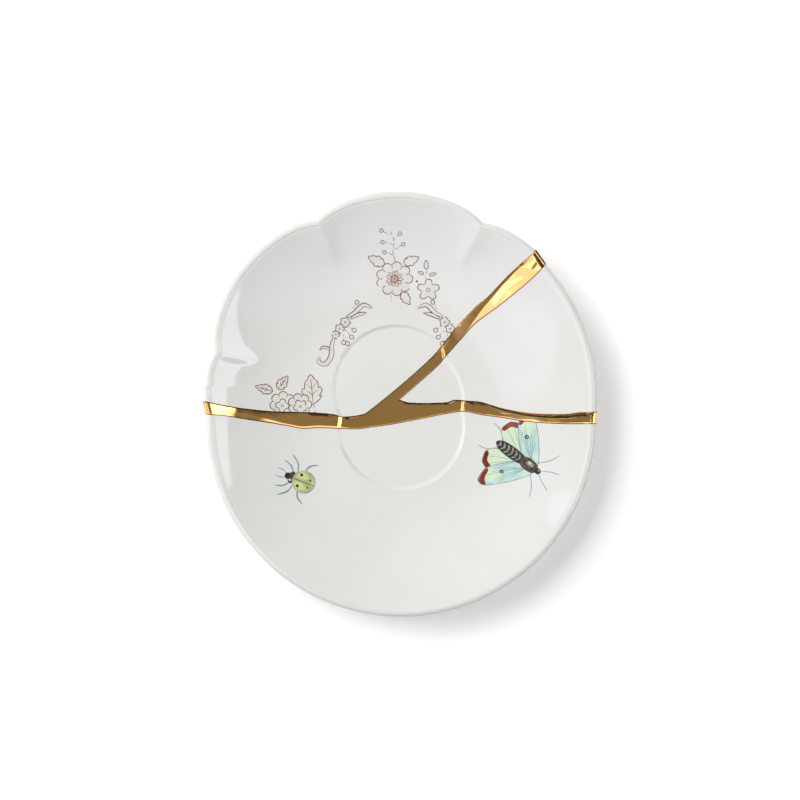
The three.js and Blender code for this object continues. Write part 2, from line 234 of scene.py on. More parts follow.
def reach_at(saucer, bearing, radius):
    if not saucer["lobed"]:
        return radius
    fade = smoothstep(radius, RIM_RADIUS - LOBE_FADE_WIDTH, RIM_RADIUS)
    rim_reach = (1 + LOBED_RIM_EXCESS / RIM_RADIUS) * scallop(bearing) - west_trim(bearing)
    pinched = pinch(bearing) * smoothstep(radius, RIM_RADIUS - PINCH_GONE_AT, RIM_RADIUS - PINCH_FULL_TO)
    eased = PINCH_EASED_AT_RIM * smoothstep(radius, RIM_RADIUS - PINCH_EASED_FROM, RIM_RADIUS)
    return radius * (1 + (rim_reach - 1) * fade - pinched * (1 - eased))


def plan_points(saucer, bearing, radius):
    bearing, radius = np.broadcast_arrays(np.asarray(bearing, float), np.asarray(radius, float))
    reach = reach_at(saucer, bearing, radius)
    return centre_at(saucer, radius) + np.stack([reach * np.cos(bearing), reach * np.sin(bearing)], axis=-1)


BISECTIONS = 44


def radius_at(saucer, points):
    """The profile radius at which a saucer passes through each plan point."""
    low = np.zeros(len(points))
    high = np.full(len(points), 2 * RIM_RADIUS)
    for _ in range(BISECTIONS):
        middle = (low + high) / 2
        offset = points - centre_at(saucer, middle)
        bearing = np.arctan2(offset[:, 1], offset[:, 0])
        inside = reach_at(saucer, bearing, middle) < np.hypot(offset[:, 0], offset[:, 1])
        low = np.where(inside, middle, low)
        high = np.where(inside, high, middle)
    return (low + high) / 2


def outward_direction(saucer, points):
    """The plan direction in which a saucer's profile radius grows, at each plan point."""
    step = 0.02
    east = radius_at(saucer, points + [step, 0]) - radius_at(saucer, points - [step, 0])
    north = radius_at(saucer, points + [0, step]) - radius_at(saucer, points - [0, step])
    return np.stack([east, north], axis=-1) / (2 * step)


# Lines and polygons in plan
CURVE_STEPS = 24
EDGE_SPACING = 0.5
# A broken edge runs on past the rim to this multiple of its last point
RUN_ON = 1.2


def spline(points, spacing, closed=False):
    """A smooth line through points, cut into equal steps."""
    points = np.array(points, dtype=float)
    before, after = (points[-1:], points[:2]) if closed else (points[:1], points[-1:])
    padded = np.vstack([before, points, after])
    t = np.linspace(0, 1, CURVE_STEPS, endpoint=False)[:, None]
    fine = []
    for a, b, c, d in zip(padded, padded[1:], padded[2:], padded[3:]):
        second, third = 2 * a - 5 * b + 4 * c - d, 3 * b - a - 3 * c + d
        fine.append(0.5 * (2 * b + (c - a) * t + second * t**2 + third * t**3))
    fine = np.vstack(fine + [points[:1] if closed else points[-1:]])
    travelled = np.concatenate([[0], np.cumsum(np.hypot(*np.diff(fine, axis=0).T))])
    steps = max(3, math.ceil(travelled[-1] / spacing))
    at = np.linspace(0, travelled[-1], steps + 1)
    line = np.stack([np.interp(at, travelled, fine[:, 0]), np.interp(at, travelled, fine[:, 1])], axis=-1)
    return line[:-1] if closed else line


def sideways(line):
    """Unit vectors to the left of an open line."""
    along = np.gradient(line, axis=0)
    along /= np.maximum(np.hypot(along[:, 0], along[:, 1]), 1e-9)[:, None]
    return np.stack([-along[:, 1], along[:, 0]], axis=-1)


def inside_polygon(points, polygon):
    """Which points lie inside a polygon, by its winding number."""
    winding = np.zeros(len(points), dtype=int)
    x, y = points[:, 0], points[:, 1]
    ends = np.roll(polygon, -1, axis=0)
    for (ax, ay), (bx, by) in zip(polygon, ends):
        side = (bx - ax) * (y - ay) - (x - ax) * (by - ay)
        winding += ((ay <= y) & (by > y) & (side > 0)).astype(int)
        winding -= ((ay > y) & (by <= y) & (side < 0)).astype(int)
    return winding != 0


def edge_line(shares, run_on_start=False):
    """A broken edge as a fine line that runs on past the rim, at its end or at both."""
    line = spline(np.array(shares) * RIM_RADIUS, EDGE_SPACING)
    start = [line[0] * RUN_ON] if run_on_start else []
    return np.vstack([*start, line, line[-1] * RUN_ON])


EDGES = {
    "lobed": edge_line(LOBED_EDGE, True),
    "north_east": edge_line(FORK_TO_NORTH_EAST),
    "east": edge_line(FORK_TO_EAST),
    "lower": edge_line(LOWER_EDGE, True),
}
# The two edges of the right fragment as one line, from the north-east rim by the fork to the east rim
EDGES["right"] = np.vstack([EDGES["north_east"][::-1], EDGES["east"][1:]])


def left_block(line):
    """A polygon that covers everything to the left of a line that crosses the saucer."""
    start = math.atan2(line[-1][1], line[-1][0])
    turn = (math.atan2(line[0][1], line[0][0]) - start) % (2 * math.pi)
    arc = [(math.cos(start + turn * i / 16), math.sin(start + turn * i / 16)) for i in range(17)]
    return np.vstack([line, np.array(arc) * 2 * RIM_RADIUS])


# Meshes
def triangulate(points, edges, smallest=None, merge=0.004):
    """A constrained triangulation: its points and its triangles, turned to face up."""
    made = delaunay_2d_cdt([Vector(p) for p in points], edges, [], 0, merge, False)
    flat = np.array([tuple(v) for v in made[0]])
    triangles = np.array([f for f in made[2] if len(f) == 3])
    a, b, c = flat[triangles[:, 0]], flat[triangles[:, 1]], flat[triangles[:, 2]]
    area = (b[:, 0] - a[:, 0]) * (c[:, 1] - a[:, 1]) - (b[:, 1] - a[:, 1]) * (c[:, 0] - a[:, 0])
    triangles[area < 0] = triangles[area < 0][:, ::-1]
    return flat, triangles if smallest is None else triangles[np.abs(area) > smallest]


class Plan:
    """Points and fixed edges that a triangulation is made from."""

    def __init__(self):
        self.points = []
        self.edges = []

    def line(self, points, closed=False):
        first = len(self.points)
        self.points.extend((float(x), float(y)) for x, y in points)
        last = len(self.points) - 1
        self.edges.extend((i, i + 1) for i in range(first, last))
        if closed:
            self.edges.append((last, first))


def ring_radii_top():
    """Profile radii of the upper sheet's rings, closer together at the step, the groove and the lip."""
    groove = RIM_RADIUS - GROOVE_INSIDE_RIM
    radii = list(np.arange(2.0, 23.0, 2.1))
    radii += list(SHOULDER_R - WELL_STEP_WIDTH * (1 - np.linspace(0, 1, 9)))
    radii += list(np.linspace(SHOULDER_R, groove - 1.4, 29)[1:])
    radii += list(np.linspace(groove - 1.0, WALL_END_R, 9))
    lip = np.linspace(math.pi / 2 + RIM_SLOPE, 0, 13)[1:]
    return radii + list(LIP_R + LIP_RADIUS * np.cos(lip))


def ring_radii_under():
    """Profile radii of the underside's rings."""
    return list(np.arange(3.0, 38.0, 3.5)) + list(UNDER[1:, 0])


# How many points a ring has, and how they gather towards the notches, where the rim turns
RING_POINTS = 300
LOBE_POINT_SHARE = 0.65
GATHERING = 1.6
# Within these radii a ring has every second or every sixth point
HALF_RING, SIXTH_RING = 12, 6


def bearings_for(saucer):
    if not saucer["lobed"]:
        return np.linspace(0, 2 * math.pi, RING_POINTS, endpoint=False)
    per_lobe = 2 * round(LOBE_POINT_SHARE * RING_POINTS * LOBE_STEP / (2 * math.pi))
    shares = np.linspace(-1, 1, per_lobe + 1)
    shares = np.sign(shares) * (1 - (1 - np.abs(shares)) ** GATHERING)
    first = TOP_LOBE - 3.5 * LOBE_STEP
    bearings = np.concatenate([first + LOBE_STEP * (i + 0.5 + shares[:-1] / 2) for i in range(7)])
    return bearings[bearings < first + 2 * math.pi - 0.01]


def sheet(saucer, edge, radii, art):
    """One side of a fragment in plan: its points, its triangles and their centres, cut along its edge."""
    bearings = bearings_for(saucer)
    plan = Plan()
    for radius in radii:
        skip = 1 if radius > HALF_RING else 2 if radius > SIXTH_RING else 6
        rim = plan_points(saucer, bearings[::skip], radius)
        plan.line(rim, closed=True)
    plan.line(edge)
    for _, polygon in art:
        plan.line(polygon, closed=True)
    flat, triangles = triangulate(plan.points, plan.edges)
    centres = flat[triangles].mean(axis=1)
    keep = inside_polygon(centres, rim) & inside_polygon(centres, left_block(edge))
    used, inverse = np.unique(triangles[keep], return_inverse=True)
    return flat[used], inverse.reshape(-1, 3), centres[keep]


def open_edges(triangles):
    """Directed edges that only one triangle has, as a map from start to end."""
    directed = set()
    for a, b, c in triangles.tolist():
        directed.update(((a, b), (b, c), (c, a)))
    return {a: b for a, b in directed if (b, a) not in directed}


def unit(vectors):
    return vectors / np.maximum(np.linalg.norm(vectors, axis=1), 1e-12)[:, None]


def area_normals(points, faces):
    """Each face's normal, as long as twice its area."""
    a, b, c = points[faces[:, 0]], points[faces[:, 1]], points[faces[:, 2]]
    return np.cross(b - a, c - a)


def flat_normals(points, faces):
    """Corner normals of faces that are shaded flat."""
    return np.repeat(unit(area_normals(points, faces)), 3, axis=0)


def smooth_normals(points, faces):
    """Corner normals that are shared by all the faces at a point."""
    normals = np.zeros_like(points)
    for corner in range(3):
        np.add.at(normals, faces[:, corner], area_normals(points, faces))
    return unit(normals)[faces.reshape(-1)]


def make_object(name, points, faces, materials, face_materials, corner_normals):
    """A piece from points in millimetres in the seam's frame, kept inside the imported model's box."""
    points = points + [*SHIFT, 0.0]
    points = np.clip(points, np.array(cad_low) / MM, np.array(cad_high) / MM)
    mesh = bpy.data.meshes.new(name)
    mesh.from_pydata((points * MM).tolist(), [], faces.tolist())
    for material in materials:
        mesh.materials.append(material)
    mesh.polygons.foreach_set("material_index", face_materials)
    mesh.polygons.foreach_set("use_smooth", [True] * len(faces))
    mesh.update()
    mesh.normals_split_custom_set(corner_normals.tolist())
    piece = bpy.data.objects.new(name, mesh)
    bpy.context.scene.collection.objects.link(piece)
    return piece


def sheet_normals(saucer, flat, out, up):
    return unit(np.column_stack([outward_direction(saucer, flat) * out[:, None], up]))


def share_rim(top_flat, top_rim, low_flat, low_rim):
    """The underside's places in the list of points: its rim points are the upper sheet's own."""
    rim_places = {tuple(np.round(top_flat[i], 3)): i for i in np.flatnonzero(top_rim)}
    places, fresh = [], []
    for i, point in enumerate(low_flat):
        twin = rim_places.get(tuple(np.round(point, 3))) if low_rim[i] else None
        if twin is None:
            twin = len(top_flat) + len(fresh)
            fresh.append(i)
        places.append(twin)
    return np.array(places), fresh


# Points this near the rim lie on it, and faces below this height are the foot's bare sole
RIM_TOLERANCE = 0.02
SOLE_HEIGHT = 0.1


def fragment(name, saucer, edge, art, materials):
    """A fragment of a saucer: an upper sheet with its painted shapes, an underside and the broken edge."""
    top_flat, top_faces, centres = sheet(saucer, edge, ring_radii_top(), art)
    low_flat, low_faces, _ = sheet(saucer, edge, ring_radii_under(), [])
    low_faces = low_faces[:, ::-1]
    top_radius, low_radius = radius_at(saucer, top_flat), radius_at(saucer, low_flat)
    top_height, top_out, top_up = top_profile(np.minimum(top_radius, RIM_RADIUS))
    low_height, low_out, low_up = under_profile(np.minimum(low_radius, RIM_RADIUS))
    top_rim, low_rim = (radius > RIM_RADIUS - RIM_TOLERANCE for radius in (top_radius, low_radius))
    top_height[top_rim] = LIP_Z
    low_height[low_rim] = LIP_Z
    places, fresh = share_rim(top_flat, top_rim, low_flat, low_rim)
    points = np.vstack([
        np.column_stack([top_flat, top_height]),
        np.column_stack([low_flat[fresh], low_height[fresh]]),
    ])
    under_faces = places[low_faces]
    faces = np.vstack([top_faces, under_faces])
    walls = close_gap(points, open_edges(faces), len(top_flat))
    corner_normals = np.vstack([
        sheet_normals(saucer, top_flat, top_out, top_up)[top_faces.reshape(-1)],
        sheet_normals(saucer, low_flat, low_out, low_up)[low_faces.reshape(-1)],
        flat_normals(points, walls),
    ])
    faces = np.vstack([faces, walls])

    face_materials = np.zeros(len(faces), dtype=int)
    slot_of = {material.name: i for i, material in enumerate(materials)}
    for ink, polygon in art:
        low, high = polygon.min(axis=0), polygon.max(axis=0)
        near = np.flatnonzero(((centres >= low) & (centres <= high)).all(axis=1))
        face_materials[near[inside_polygon(centres[near], polygon)]] = slot_of[ink]
    on_sole = np.flatnonzero(points[under_faces, 2].mean(axis=1) < SOLE_HEIGHT)
    face_materials[on_sole + len(top_faces)] = slot_of["bare_foot"]
    return make_object(name, points, faces, materials, face_materials, corner_normals)


def close_gap(points, loose, top_count):
    """Triangles between the upper and lower open chains of a broken edge, which meet at both ends."""
    lower = {a: b for a, b in loose.items() if a >= top_count or b >= top_count}
    upper = {a: b for a, b in loose.items() if a < top_count and b < top_count}
    reached = set(upper.values())
    top_chain = [next(a for a in upper if a not in reached)]
    while top_chain[-1] in upper and len(top_chain) <= len(upper):
        top_chain.append(upper[top_chain[-1]])
    low_chain = [top_chain[-1]]
    while low_chain[-1] != top_chain[0] and len(low_chain) <= len(lower):
        low_chain.append(lower[low_chain[-1]])
    return zip_chains(points, top_chain, low_chain[::-1])


def zip_chains(points, top_chain, low_chain):
    """Triangles that join two chains with the same ends, faced away from the side that the chains bound."""
    def travelled(chain):
        steps = np.hypot(*np.diff(points[chain][:, :2], axis=0).T)
        total = np.concatenate([[0], np.cumsum(steps)])
        return total / total[-1]

    along_top, along_low = travelled(top_chain), travelled(low_chain)
    walls = []
    i, j = 0, 0
    while i < len(top_chain) - 1 or j < len(low_chain) - 1:
        low_done, top_done = j == len(low_chain) - 1, i == len(top_chain) - 1
        if low_done or (not top_done and along_top[i + 1] <= along_low[j + 1]):
            corner = (top_chain[i + 1], top_chain[i], low_chain[j])
            i += 1
        else:
            corner = (low_chain[j], low_chain[j + 1], top_chain[i])
            j += 1
        if len(set(corner)) == 3:
            walls.append(corner)
    return np.array(walls)


# The gold seam
GOLD_PROUD = 0.4
GOLD_SUNK = 0.08
GOLD_OVERLAP = 0.15
GOLD_FOOT_CLEARANCE = 0.2
GOLD_STEP_WIDTH = 1.7
HUB_RADIUS = 17.5
CROWN = 0.1

GOLD_LINES = {
    name: EDGES[name] + GOLD_OVERLAP * sideways(EDGES[name]) for name in ("lobed", "right", "lower")
}
FORK_INDEX = len(EDGES["north_east"]) - 1


def distance_to_line(points, line):
    """Each point's distance to a line in plan."""
    starts = line[:-1]
    spans = line[1:] - starts
    lengths = (spans**2).sum(axis=1)
    best = []
    for chunk in np.array_split(points, max(1, len(points) // 2000)):
        offset = chunk[:, None, :] - starts[None]
        share = np.clip((offset * spans).sum(axis=2) / lengths, 0, 1)
        away = offset - share[..., None] * spans
        best.append(np.sqrt((away**2).sum(axis=2).min(axis=1)))
    return np.concatenate(best)


def ripple(points, seed, height, lengths):
    """A gentle unevenness: a sum of waves in all directions."""
    draw = random.Random(seed)
    total = np.zeros(len(points))
    for length in lengths:
        heading = draw.uniform(0, 2 * math.pi)
        phase = draw.uniform(0, 2 * math.pi)
        across = points[:, 0] * math.cos(heading) + points[:, 1] * math.sin(heading)
        total += np.sin(2 * math.pi * across / length + phase) * height * length / lengths[0]
    return total


def along_table(points, table):
    """A value read at each point's place from west to east."""
    places, values = zip(*table)
    return np.interp(points[:, 0], places, values)


# The seam's edges are rounded over this width. A bevel is at its full depth from this width on, and a
# narrower one keeps a share of it.
EDGE_ROUNDING = 0.4
FULL_BEVEL = 1.2
LEAST_BEVEL_DEPTH = 0.15
# Bevels that were left along the seam's edges: where they are from west to east, and how wide and deep
LOWER_BEVEL = [(-77, 0.5), (-69.6, 1.8), (-62, 2.5), (-54.4, 1.8), (-47.6, 0.9), (-40, 1.0), (-26, 1.0),
               (-20, 0.45), (30, 0.45), (77, 0.7)]
LOWER_DROP = 0.3
UPPER_BEVEL = [(-77, 0.3), (-38, 0.3), (-36, 1.3), (-29, 1.2), (-27, 0.3), (-23, 0.3), (-21, 1.5), (-18, 1.2),
               (-16, 0.3), (14, 0.3), (17.5, 1.7), (20, 0.4), (24, 0.9), (26, 0.3), (78, 0.3)]
UPPER_DROP = 0.24
FORK_BEVEL = [(-6, 0.3), (0, 0.9), (17, 0.8), (20, 1.5), (23, 0.6), (27, 0.6), (29, 1.7), (33, 1.3),
              (36, 0.6), (40, 1.0), (46, 1.3), (56, 1.7), (66, 1.9), (74, 1.6), (78, 0.8)]
FORK_DROP = [(30, 0.24), (38, 0.5), (46, 0.85), (56, 1.0), (70, 1.0), (75, 0.7), (78, 0.2)]
NORTH_EAST_BEVEL = 0.35
# The line through the hub, by its rise from west to east, that divides the two eastern branches
FORK_DIVIDE = 0.45
# How much the eastern branch leans to the north, by place from west to east
EAST_LEAN = [(26, 0.0), (38, 0.04), (50, 0.08), (66, 0.08), (78, 0.03)]
# The fold that twists up across the north-east branch, as a line in plan, and how it falls to either side
FOLD = np.array([
    (10.0, 8.5), (24.6, 26.2), (33.0, 38.0), (41.0, 47.5), (48.0, 55.0), (55.0, 53.0), (60.0, 52.0),
])
FOLD_FALL_LEFT = 0.17
FOLD_FALL_RIGHT = 0.03
FOLD_REACH = 4.0
FOLD_SETS_IN = (16.0, 24.0)
# The crown sets in between these places, east of the flat western tip
CROWN_SETS_IN = (-68.0, -52.0)
# Streaks drawn out along the two eastern branches: how high they are, by place from west to east, their
# heading, spacing and seed
EAST_STREAKS = [(32, 0.0), (42, 0.02), (52, 0.055), (66, 0.06), (78, 0.05)]
EAST_STREAK_RUN = (-0.08, 2.4, 3)
NORTH_EAST_STREAKS = [(24, 0.0), (34, 0.02), (46, 0.035), (56, 0.02)]
NORTH_EAST_STREAK_RUN = (0.84, 3.4, 6)
STREAK_SHARES = (1.0, 0.62, 1.7)
# The unevenness of the whole skin: its seed, its height and the lengths of its waves
UNEVENNESS = (11, 0.014, [9.0, 6.5, 5.0, 3.6])


def streaks(points, heading, spacing, seed):
    """Long waves that run along a branch, between about -1 and 1."""
    draw = random.Random(seed)
    along = points[:, 0] * math.cos(heading) + points[:, 1] * math.sin(heading)
    across = points[:, 1] * math.cos(heading) - points[:, 0] * math.sin(heading)
    bend = np.sin(2 * math.pi * along / 21.0 + draw.uniform(0, 6)) * 0.8
    total = np.zeros(len(points))
    for share in STREAK_SHARES:
        turn = draw.uniform(0, 6) + 2 * math.pi * along / draw.uniform(22.0, 40.0)
        total += share**0.8 * np.sin(2 * math.pi * (across + bend) / (spacing * share) + turn) / 2.2
    return total


def gold_relief(points, on_top):
    """How far the gold stands off the porcelain at each plan point."""
    lobed, right, lower = (distance_to_line(points, line) for line in GOLD_LINES.values())
    steep = np.clip(np.minimum(np.minimum(lobed, right), lower) / EDGE_ROUNDING, 0, 1)
    height = -GOLD_SUNK + (GOLD_PROUD + GOLD_SUNK) * np.sqrt(1 - (1 - steep) ** 2)
    if not on_top:
        return height
    eastern = points[:, 1] < FORK_DIVIDE * points[:, 0]
    fork_bevel = np.where(eastern, along_table(points, FORK_BEVEL), NORTH_EAST_BEVEL)
    bevels = (
        (lower, along_table(points, LOWER_BEVEL), LOWER_DROP),
        (lobed, along_table(points, UPPER_BEVEL), UPPER_DROP),
        (right, fork_bevel, along_table(points, FORK_DROP)),
    )
    for distance, width, drop in bevels:
        depth = drop * np.clip(width / FULL_BEVEL, LEAST_BEVEL_DEPTH, 1.0)
        height -= depth * (1 - np.clip(distance / width, 0, 1)) * steep
    nearest_two = np.sort(np.stack([lobed, right, lower]), axis=0)[:2]
    middle = nearest_two[0] / np.maximum(nearest_two.sum(axis=0), 1e-6)
    crown = CROWN * smoothstep(points[:, 0], *CROWN_SETS_IN)
    height += crown * (4 * middle * (1 - middle) - 1)
    in_north_east = smoothstep(points[:, 1] - FORK_DIVIDE * points[:, 0], 0.0, 4.0)
    in_north_east = in_north_east * smoothstep(points[:, 0], *FOLD_SETS_IN)
    fold = np.minimum(distance_to_line(points, FOLD), FOLD_REACH)
    above = points[:, 1] > np.interp(points[:, 0], FOLD[:, 0], FOLD[:, 1])
    height -= np.where(above, FOLD_FALL_LEFT, FOLD_FALL_RIGHT) * fold * in_north_east * steep
    waves = np.where(
        eastern,
        streaks(points, *EAST_STREAK_RUN) * along_table(points, EAST_STREAKS),
        streaks(points, *NORTH_EAST_STREAK_RUN) * along_table(points, NORTH_EAST_STREAKS),
    )
    height -= np.where(eastern, along_table(points, EAST_LEAN), 0.0) * lower * steep
    return np.minimum(height + steep * (ripple(points, *UNEVENNESS) + waves), GOLD_PROUD)


def outward_run(saucer, line):
    """The part of a seam's edge outside the hub, from the hub outwards, with its profile radii."""
    radii = radius_at(saucer, line)
    first = np.flatnonzero(radii < HUB_RADIUS - 1.0)[-1]
    return line[first:], np.maximum.accumulate(radii[first:])


def along_run(run, radius):
    line, radii = run
    return np.stack([np.interp(radius, radii, line[:, 0]), np.interp(radius, radii, line[:, 1])], axis=-1)


def gold_rows():
    """Profile points round the seam's band, from the hub over the lip and back below, with their normals."""
    step_start, step_end = 22.9, 27.0
    top = list(np.arange(HUB_RADIUS, step_start - 0.3, 0.45))
    top += list(np.linspace(step_start, step_end, 36))
    top += list(np.linspace(step_end + 0.4, WALL_END_R, 112))
    top += list(LIP_R + LIP_RADIUS * np.cos(np.linspace(math.pi / 2 + RIM_SLOPE, 0, 14)[1:]))
    low = list(LIP_R + LIP_RADIUS * np.cos(np.linspace(0, RIM_SLOPE - math.pi / 2, 10)[1:]))
    low += [r for r in UNDER[::-1, 0] if HUB_RADIUS < r < low[-1] - 0.2]
    low += list(np.arange(36.0, HUB_RADIUS, -2.5)) + [HUB_RADIUS]
    upper = top_profile(np.array(top), GOLD_STEP_WIDTH, 0.0)
    height, out, up = np.hstack([upper, under_profile(np.array(low))])
    return np.column_stack([top + low, height]), np.column_stack([out, up]), len(top)


# Points across a branch, and the spacing of the points in the hub on its upper and its lower side
POINTS_ACROSS = 30
HUB_SPACING_TOP = 0.22
HUB_SPACING_UNDER = 1.2


def shares_across():
    """Where the points lie across a branch, as shares of its width, closer together near its edges."""
    gathered = (1 - np.cos(np.linspace(0, math.pi, POINTS_ACROSS))) / 2
    return 0.55 * gathered + 0.45 * np.linspace(0, 1, POINTS_ACROSS)


def branch_sides():
    """The left and the right edge of each branch, from the hub outwards."""
    lobed, right, lower = GOLD_LINES.values()
    fork = np.argmin(np.hypot(*(lobed - centre_at(LOBED, 0.0)).T))
    middle = np.argmax(lower[:, 0] < centre_at(LOWER, 0.0)[0])
    sides = (
        ((LOWER, lower[middle:]), (LOBED, lobed[: fork + 1][::-1])),
        ((LOBED, lobed[fork:]), (RIGHT, right[: FORK_INDEX + 1][::-1])),
        ((RIGHT, right[FORK_INDEX:]), (LOWER, lower[: middle + 1][::-1])),
    )
    return [(outward_run(*left), outward_run(*far)) for left, far in sides]


def gold_branch(left, far, rows, normals, top_rows):
    """A branch's points, in rows that go round its profile, and its triangles."""
    count = POINTS_ACROSS
    radius, height = np.repeat(rows, count, axis=0).T
    out, up = np.repeat(normals, count, axis=0).T
    share = np.tile(shares_across(), len(rows))[:, None]
    flat = along_run(left, radius) * (1 - share) + along_run(far, radius) * share
    split = top_rows * count
    relief = np.concatenate([gold_relief(flat[:split], True), gold_relief(flat[split:], False)])
    moved = radius + out * relief
    placed = along_run(left, moved) * (1 - share) + along_run(far, moved) * share
    heights = np.maximum(height + up * relief, GOLD_FOOT_CLEARANCE)
    grid = np.arange(len(radius)).reshape(-1, count)
    a, b, c, d = grid[:-1, :-1], grid[:-1, 1:], grid[1:, 1:], grid[1:, :-1]
    return np.column_stack([placed, heights]), np.stack([a, b, c, a, c, d], axis=-1).reshape(-1, 3), grid


def hub_border(points, rows, corners):
    """The hub's outline: the branches' rows next to it and the seam's edges between them."""
    border, known = [], []
    for row, (line, start, end) in zip(rows, corners):
        border.extend(points[row, :2])
        known.extend(row)
        first, last = (np.argmin(np.hypot(*(line - place).T)) for place in (start, end))
        for place in line[first + 1 : last]:
            if min(np.hypot(*(place - start)), np.hypot(*(place - end))) > 0.2:
                border.append(place)
                known.append(-1)
    return np.array(border), known


def hub_patch(border, spacing):
    """Points and triangles that fill the hub's outline evenly."""
    plan = Plan()
    plan.line(border, closed=True)
    low, high = border.min(axis=0), border.max(axis=0)
    rows = enumerate(np.arange(low[1], high[1], spacing * 0.866))
    grid = np.array([
        (x, y) for row, y in rows for x in np.arange(low[0] + (row % 2) * spacing / 2, high[0], spacing)
    ])
    grid = grid[inside_polygon(grid, border)]
    grid = grid[distance_to_line(grid, np.vstack([border, border[:1]])) > 0.45 * spacing]
    plan.points.extend(map(tuple, grid))
    flat, triangles = triangulate(plan.points, plan.edges, 1e-5, 1e-6)
    return flat, triangles[inside_polygon(flat[triangles].mean(axis=1), border)]


def gold_sides(points, faces, lip, on_top):
    """The sides, hidden in the joint, between the open chains of the upper and the lower faces."""
    loose = open_edges(faces)

    def chain_from(start):
        chain = [start]
        while chain[-1] in loose and (len(chain) == 1 or chain[-1] not in lip):
            chain.append(loose[chain[-1]])
        return chain

    sides = []
    for start in lip:
        chain = chain_from(start)
        if all(on_top[i] for i in chain[1:-1]):
            sides.append(zip_chains(points, chain, chain_from(chain[-1])[::-1]))
    return np.vstack(sides)


def gold_seam(name, materials):
    """The seam's skin: three branches and the hub, with the distance to its edges kept for the painted shade
    along them.
    """
    rows, normals, top_rows = gold_rows()
    runs = branch_sides()
    points, faces, grids, on_top = np.empty((0, 3)), [], [], []
    for left, far in runs:
        placed, triangles, grid = gold_branch(left, far, rows, normals, top_rows)
        faces.append(triangles + len(points))
        grids.append(grid + len(points))
        points = np.vstack([points, placed])
        on_top += [i < top_rows * POINTS_ACROSS for i in range(len(placed))]
    corners = [
        (line, along_run(runs[i][1], HUB_RADIUS), along_run(runs[(i + 1) % 3][0], HUB_RADIUS))
        for i, line in enumerate(GOLD_LINES.values())
    ]
    for top, row, spacing in ((True, 0, HUB_SPACING_TOP), (False, -1, HUB_SPACING_UNDER)):
        border, known = hub_border(points, [grid[row] for grid in grids], corners)
        flat, triangles = hub_patch(border, spacing)
        relief = gold_relief(flat, top)
        heights = FLOOR_Z + relief if top else FOOT_HEIGHT - relief
        places = np.full(len(flat), -1)
        places[: len(known)] = known
        fresh = np.flatnonzero(places < 0)
        places[fresh] = len(points) + np.arange(len(fresh))
        points = np.vstack([points, np.column_stack([flat[fresh], heights[fresh]])])
        on_top += [top] * len(fresh)
        faces.append(places[triangles if top else triangles[:, ::-1]])
    faces = np.vstack(faces)
    lip = {int(grid[top_rows - 1, j]) for grid in grids for j in (0, -1)}
    sides = gold_sides(points, faces, lip, on_top)
    corner_normals = np.vstack([smooth_normals(points, faces), flat_normals(points, sides)])
    faces = np.vstack([faces, sides])
    edge_distance = np.minimum.reduce([distance_to_line(points[:, :2], line) for line in GOLD_LINES.values()])
    piece = make_object(name, points, faces, materials, np.zeros(len(faces), dtype=int), corner_normals)
    attribute = piece.data.attributes.new("edge_distance", "FLOAT", "POINT")
    attribute.data.foreach_set("value", edge_distance.astype(np.float32))
    return piece


# Materials
def add(tree, kind, inputs, **settings):
    """A node with its settings. An input is a value, set on the socket itself, or another node's output."""
    node = tree.nodes.new(kind)
    for name, value in settings.items():
        setattr(node, name, value)
    return feed(tree, node, inputs)


def feed(tree, node, inputs):
    for name, value in inputs.items():
        if isinstance(value, bpy.types.NodeSocket):
            tree.links.new(value, node.inputs[name])
        else:
            node.inputs[name].default_value = value
    return node


def new_material(name):
    material = bpy.data.materials.new(name)
    material.use_nodes = True
    return material, material.node_tree, material.node_tree.nodes["Principled BSDF"]


def noise(tree, scale, detail=3.0, roughness=0.5):
    place = add(tree, "ShaderNodeTexCoord", {}).outputs["Object"]
    inputs = {"Scale": scale, "Detail": detail, "Roughness": roughness, "Vector": place}
    return add(tree, "ShaderNodeTexNoise", inputs).outputs["Fac"]


def ramp(tree, value, stops):
    made = add(tree, "ShaderNodeValToRGB", {"Fac": value})
    elements = made.color_ramp.elements
    for element, (position, colour) in zip(elements, (stops[0], stops[-1])):
        element.position, element.color = position, (*colour, 1)
    for position, colour in stops[1:-1]:
        elements.new(position).color = (*colour, 1)
    return made.outputs["Color"]


def bump(tree, value, distance, strength):
    inputs = {"Distance": distance, "Strength": strength, "Height": value}
    return add(tree, "ShaderNodeBump", inputs).outputs["Normal"]


def map_range(tree, value, start, end, low=0.0, high=1.0, **settings):
    inputs = {"Value": value, "From Min": start, "From Max": end, "To Min": low, "To Max": high}
    return add(tree, "ShaderNodeMapRange", inputs, **settings).outputs["Result"]


def blend(tree, kind, under, over):
    inputs = {"Factor": 1.0, "A": under, "B": over}
    return add(tree, "ShaderNodeMix", inputs, data_type="RGBA", blend_type=kind).outputs["Result"]


def even(low, high, spread=0.12):
    """Two close tints as a ramp's stops."""
    return [(0.5 - spread, low), (0.5 + spread, high)]


def glazed(name, tints, scale):
    """Colour under a clear glaze, with the slight unevenness of a poured glaze."""
    material, tree, shader = new_material(name)
    feed(tree, shader, {
        "Base Color": ramp(tree, noise(tree, scale, 5.0, 0.6), tints),
        "Roughness": 0.06,
        "IOR": 1.5,
        "Normal": bump(tree, noise(tree, 130.0, 1.0), 0.00003, 0.35),
    })
    return material


def bare_foot():
    """Unglazed porcelain, matt and a little grubby from standing."""
    material, tree, shader = new_material("bare_foot")
    feed(tree, shader, {
        "Base Color": ramp(tree, noise(tree, 900.0, 4.0), even((0.56, 0.52, 0.45), (0.7, 0.67, 0.6), 0.2)),
        "Roughness": 0.75,
        "Normal": bump(tree, noise(tree, 2200.0, 3.0), 0.00008, 0.6),
    })
    return material
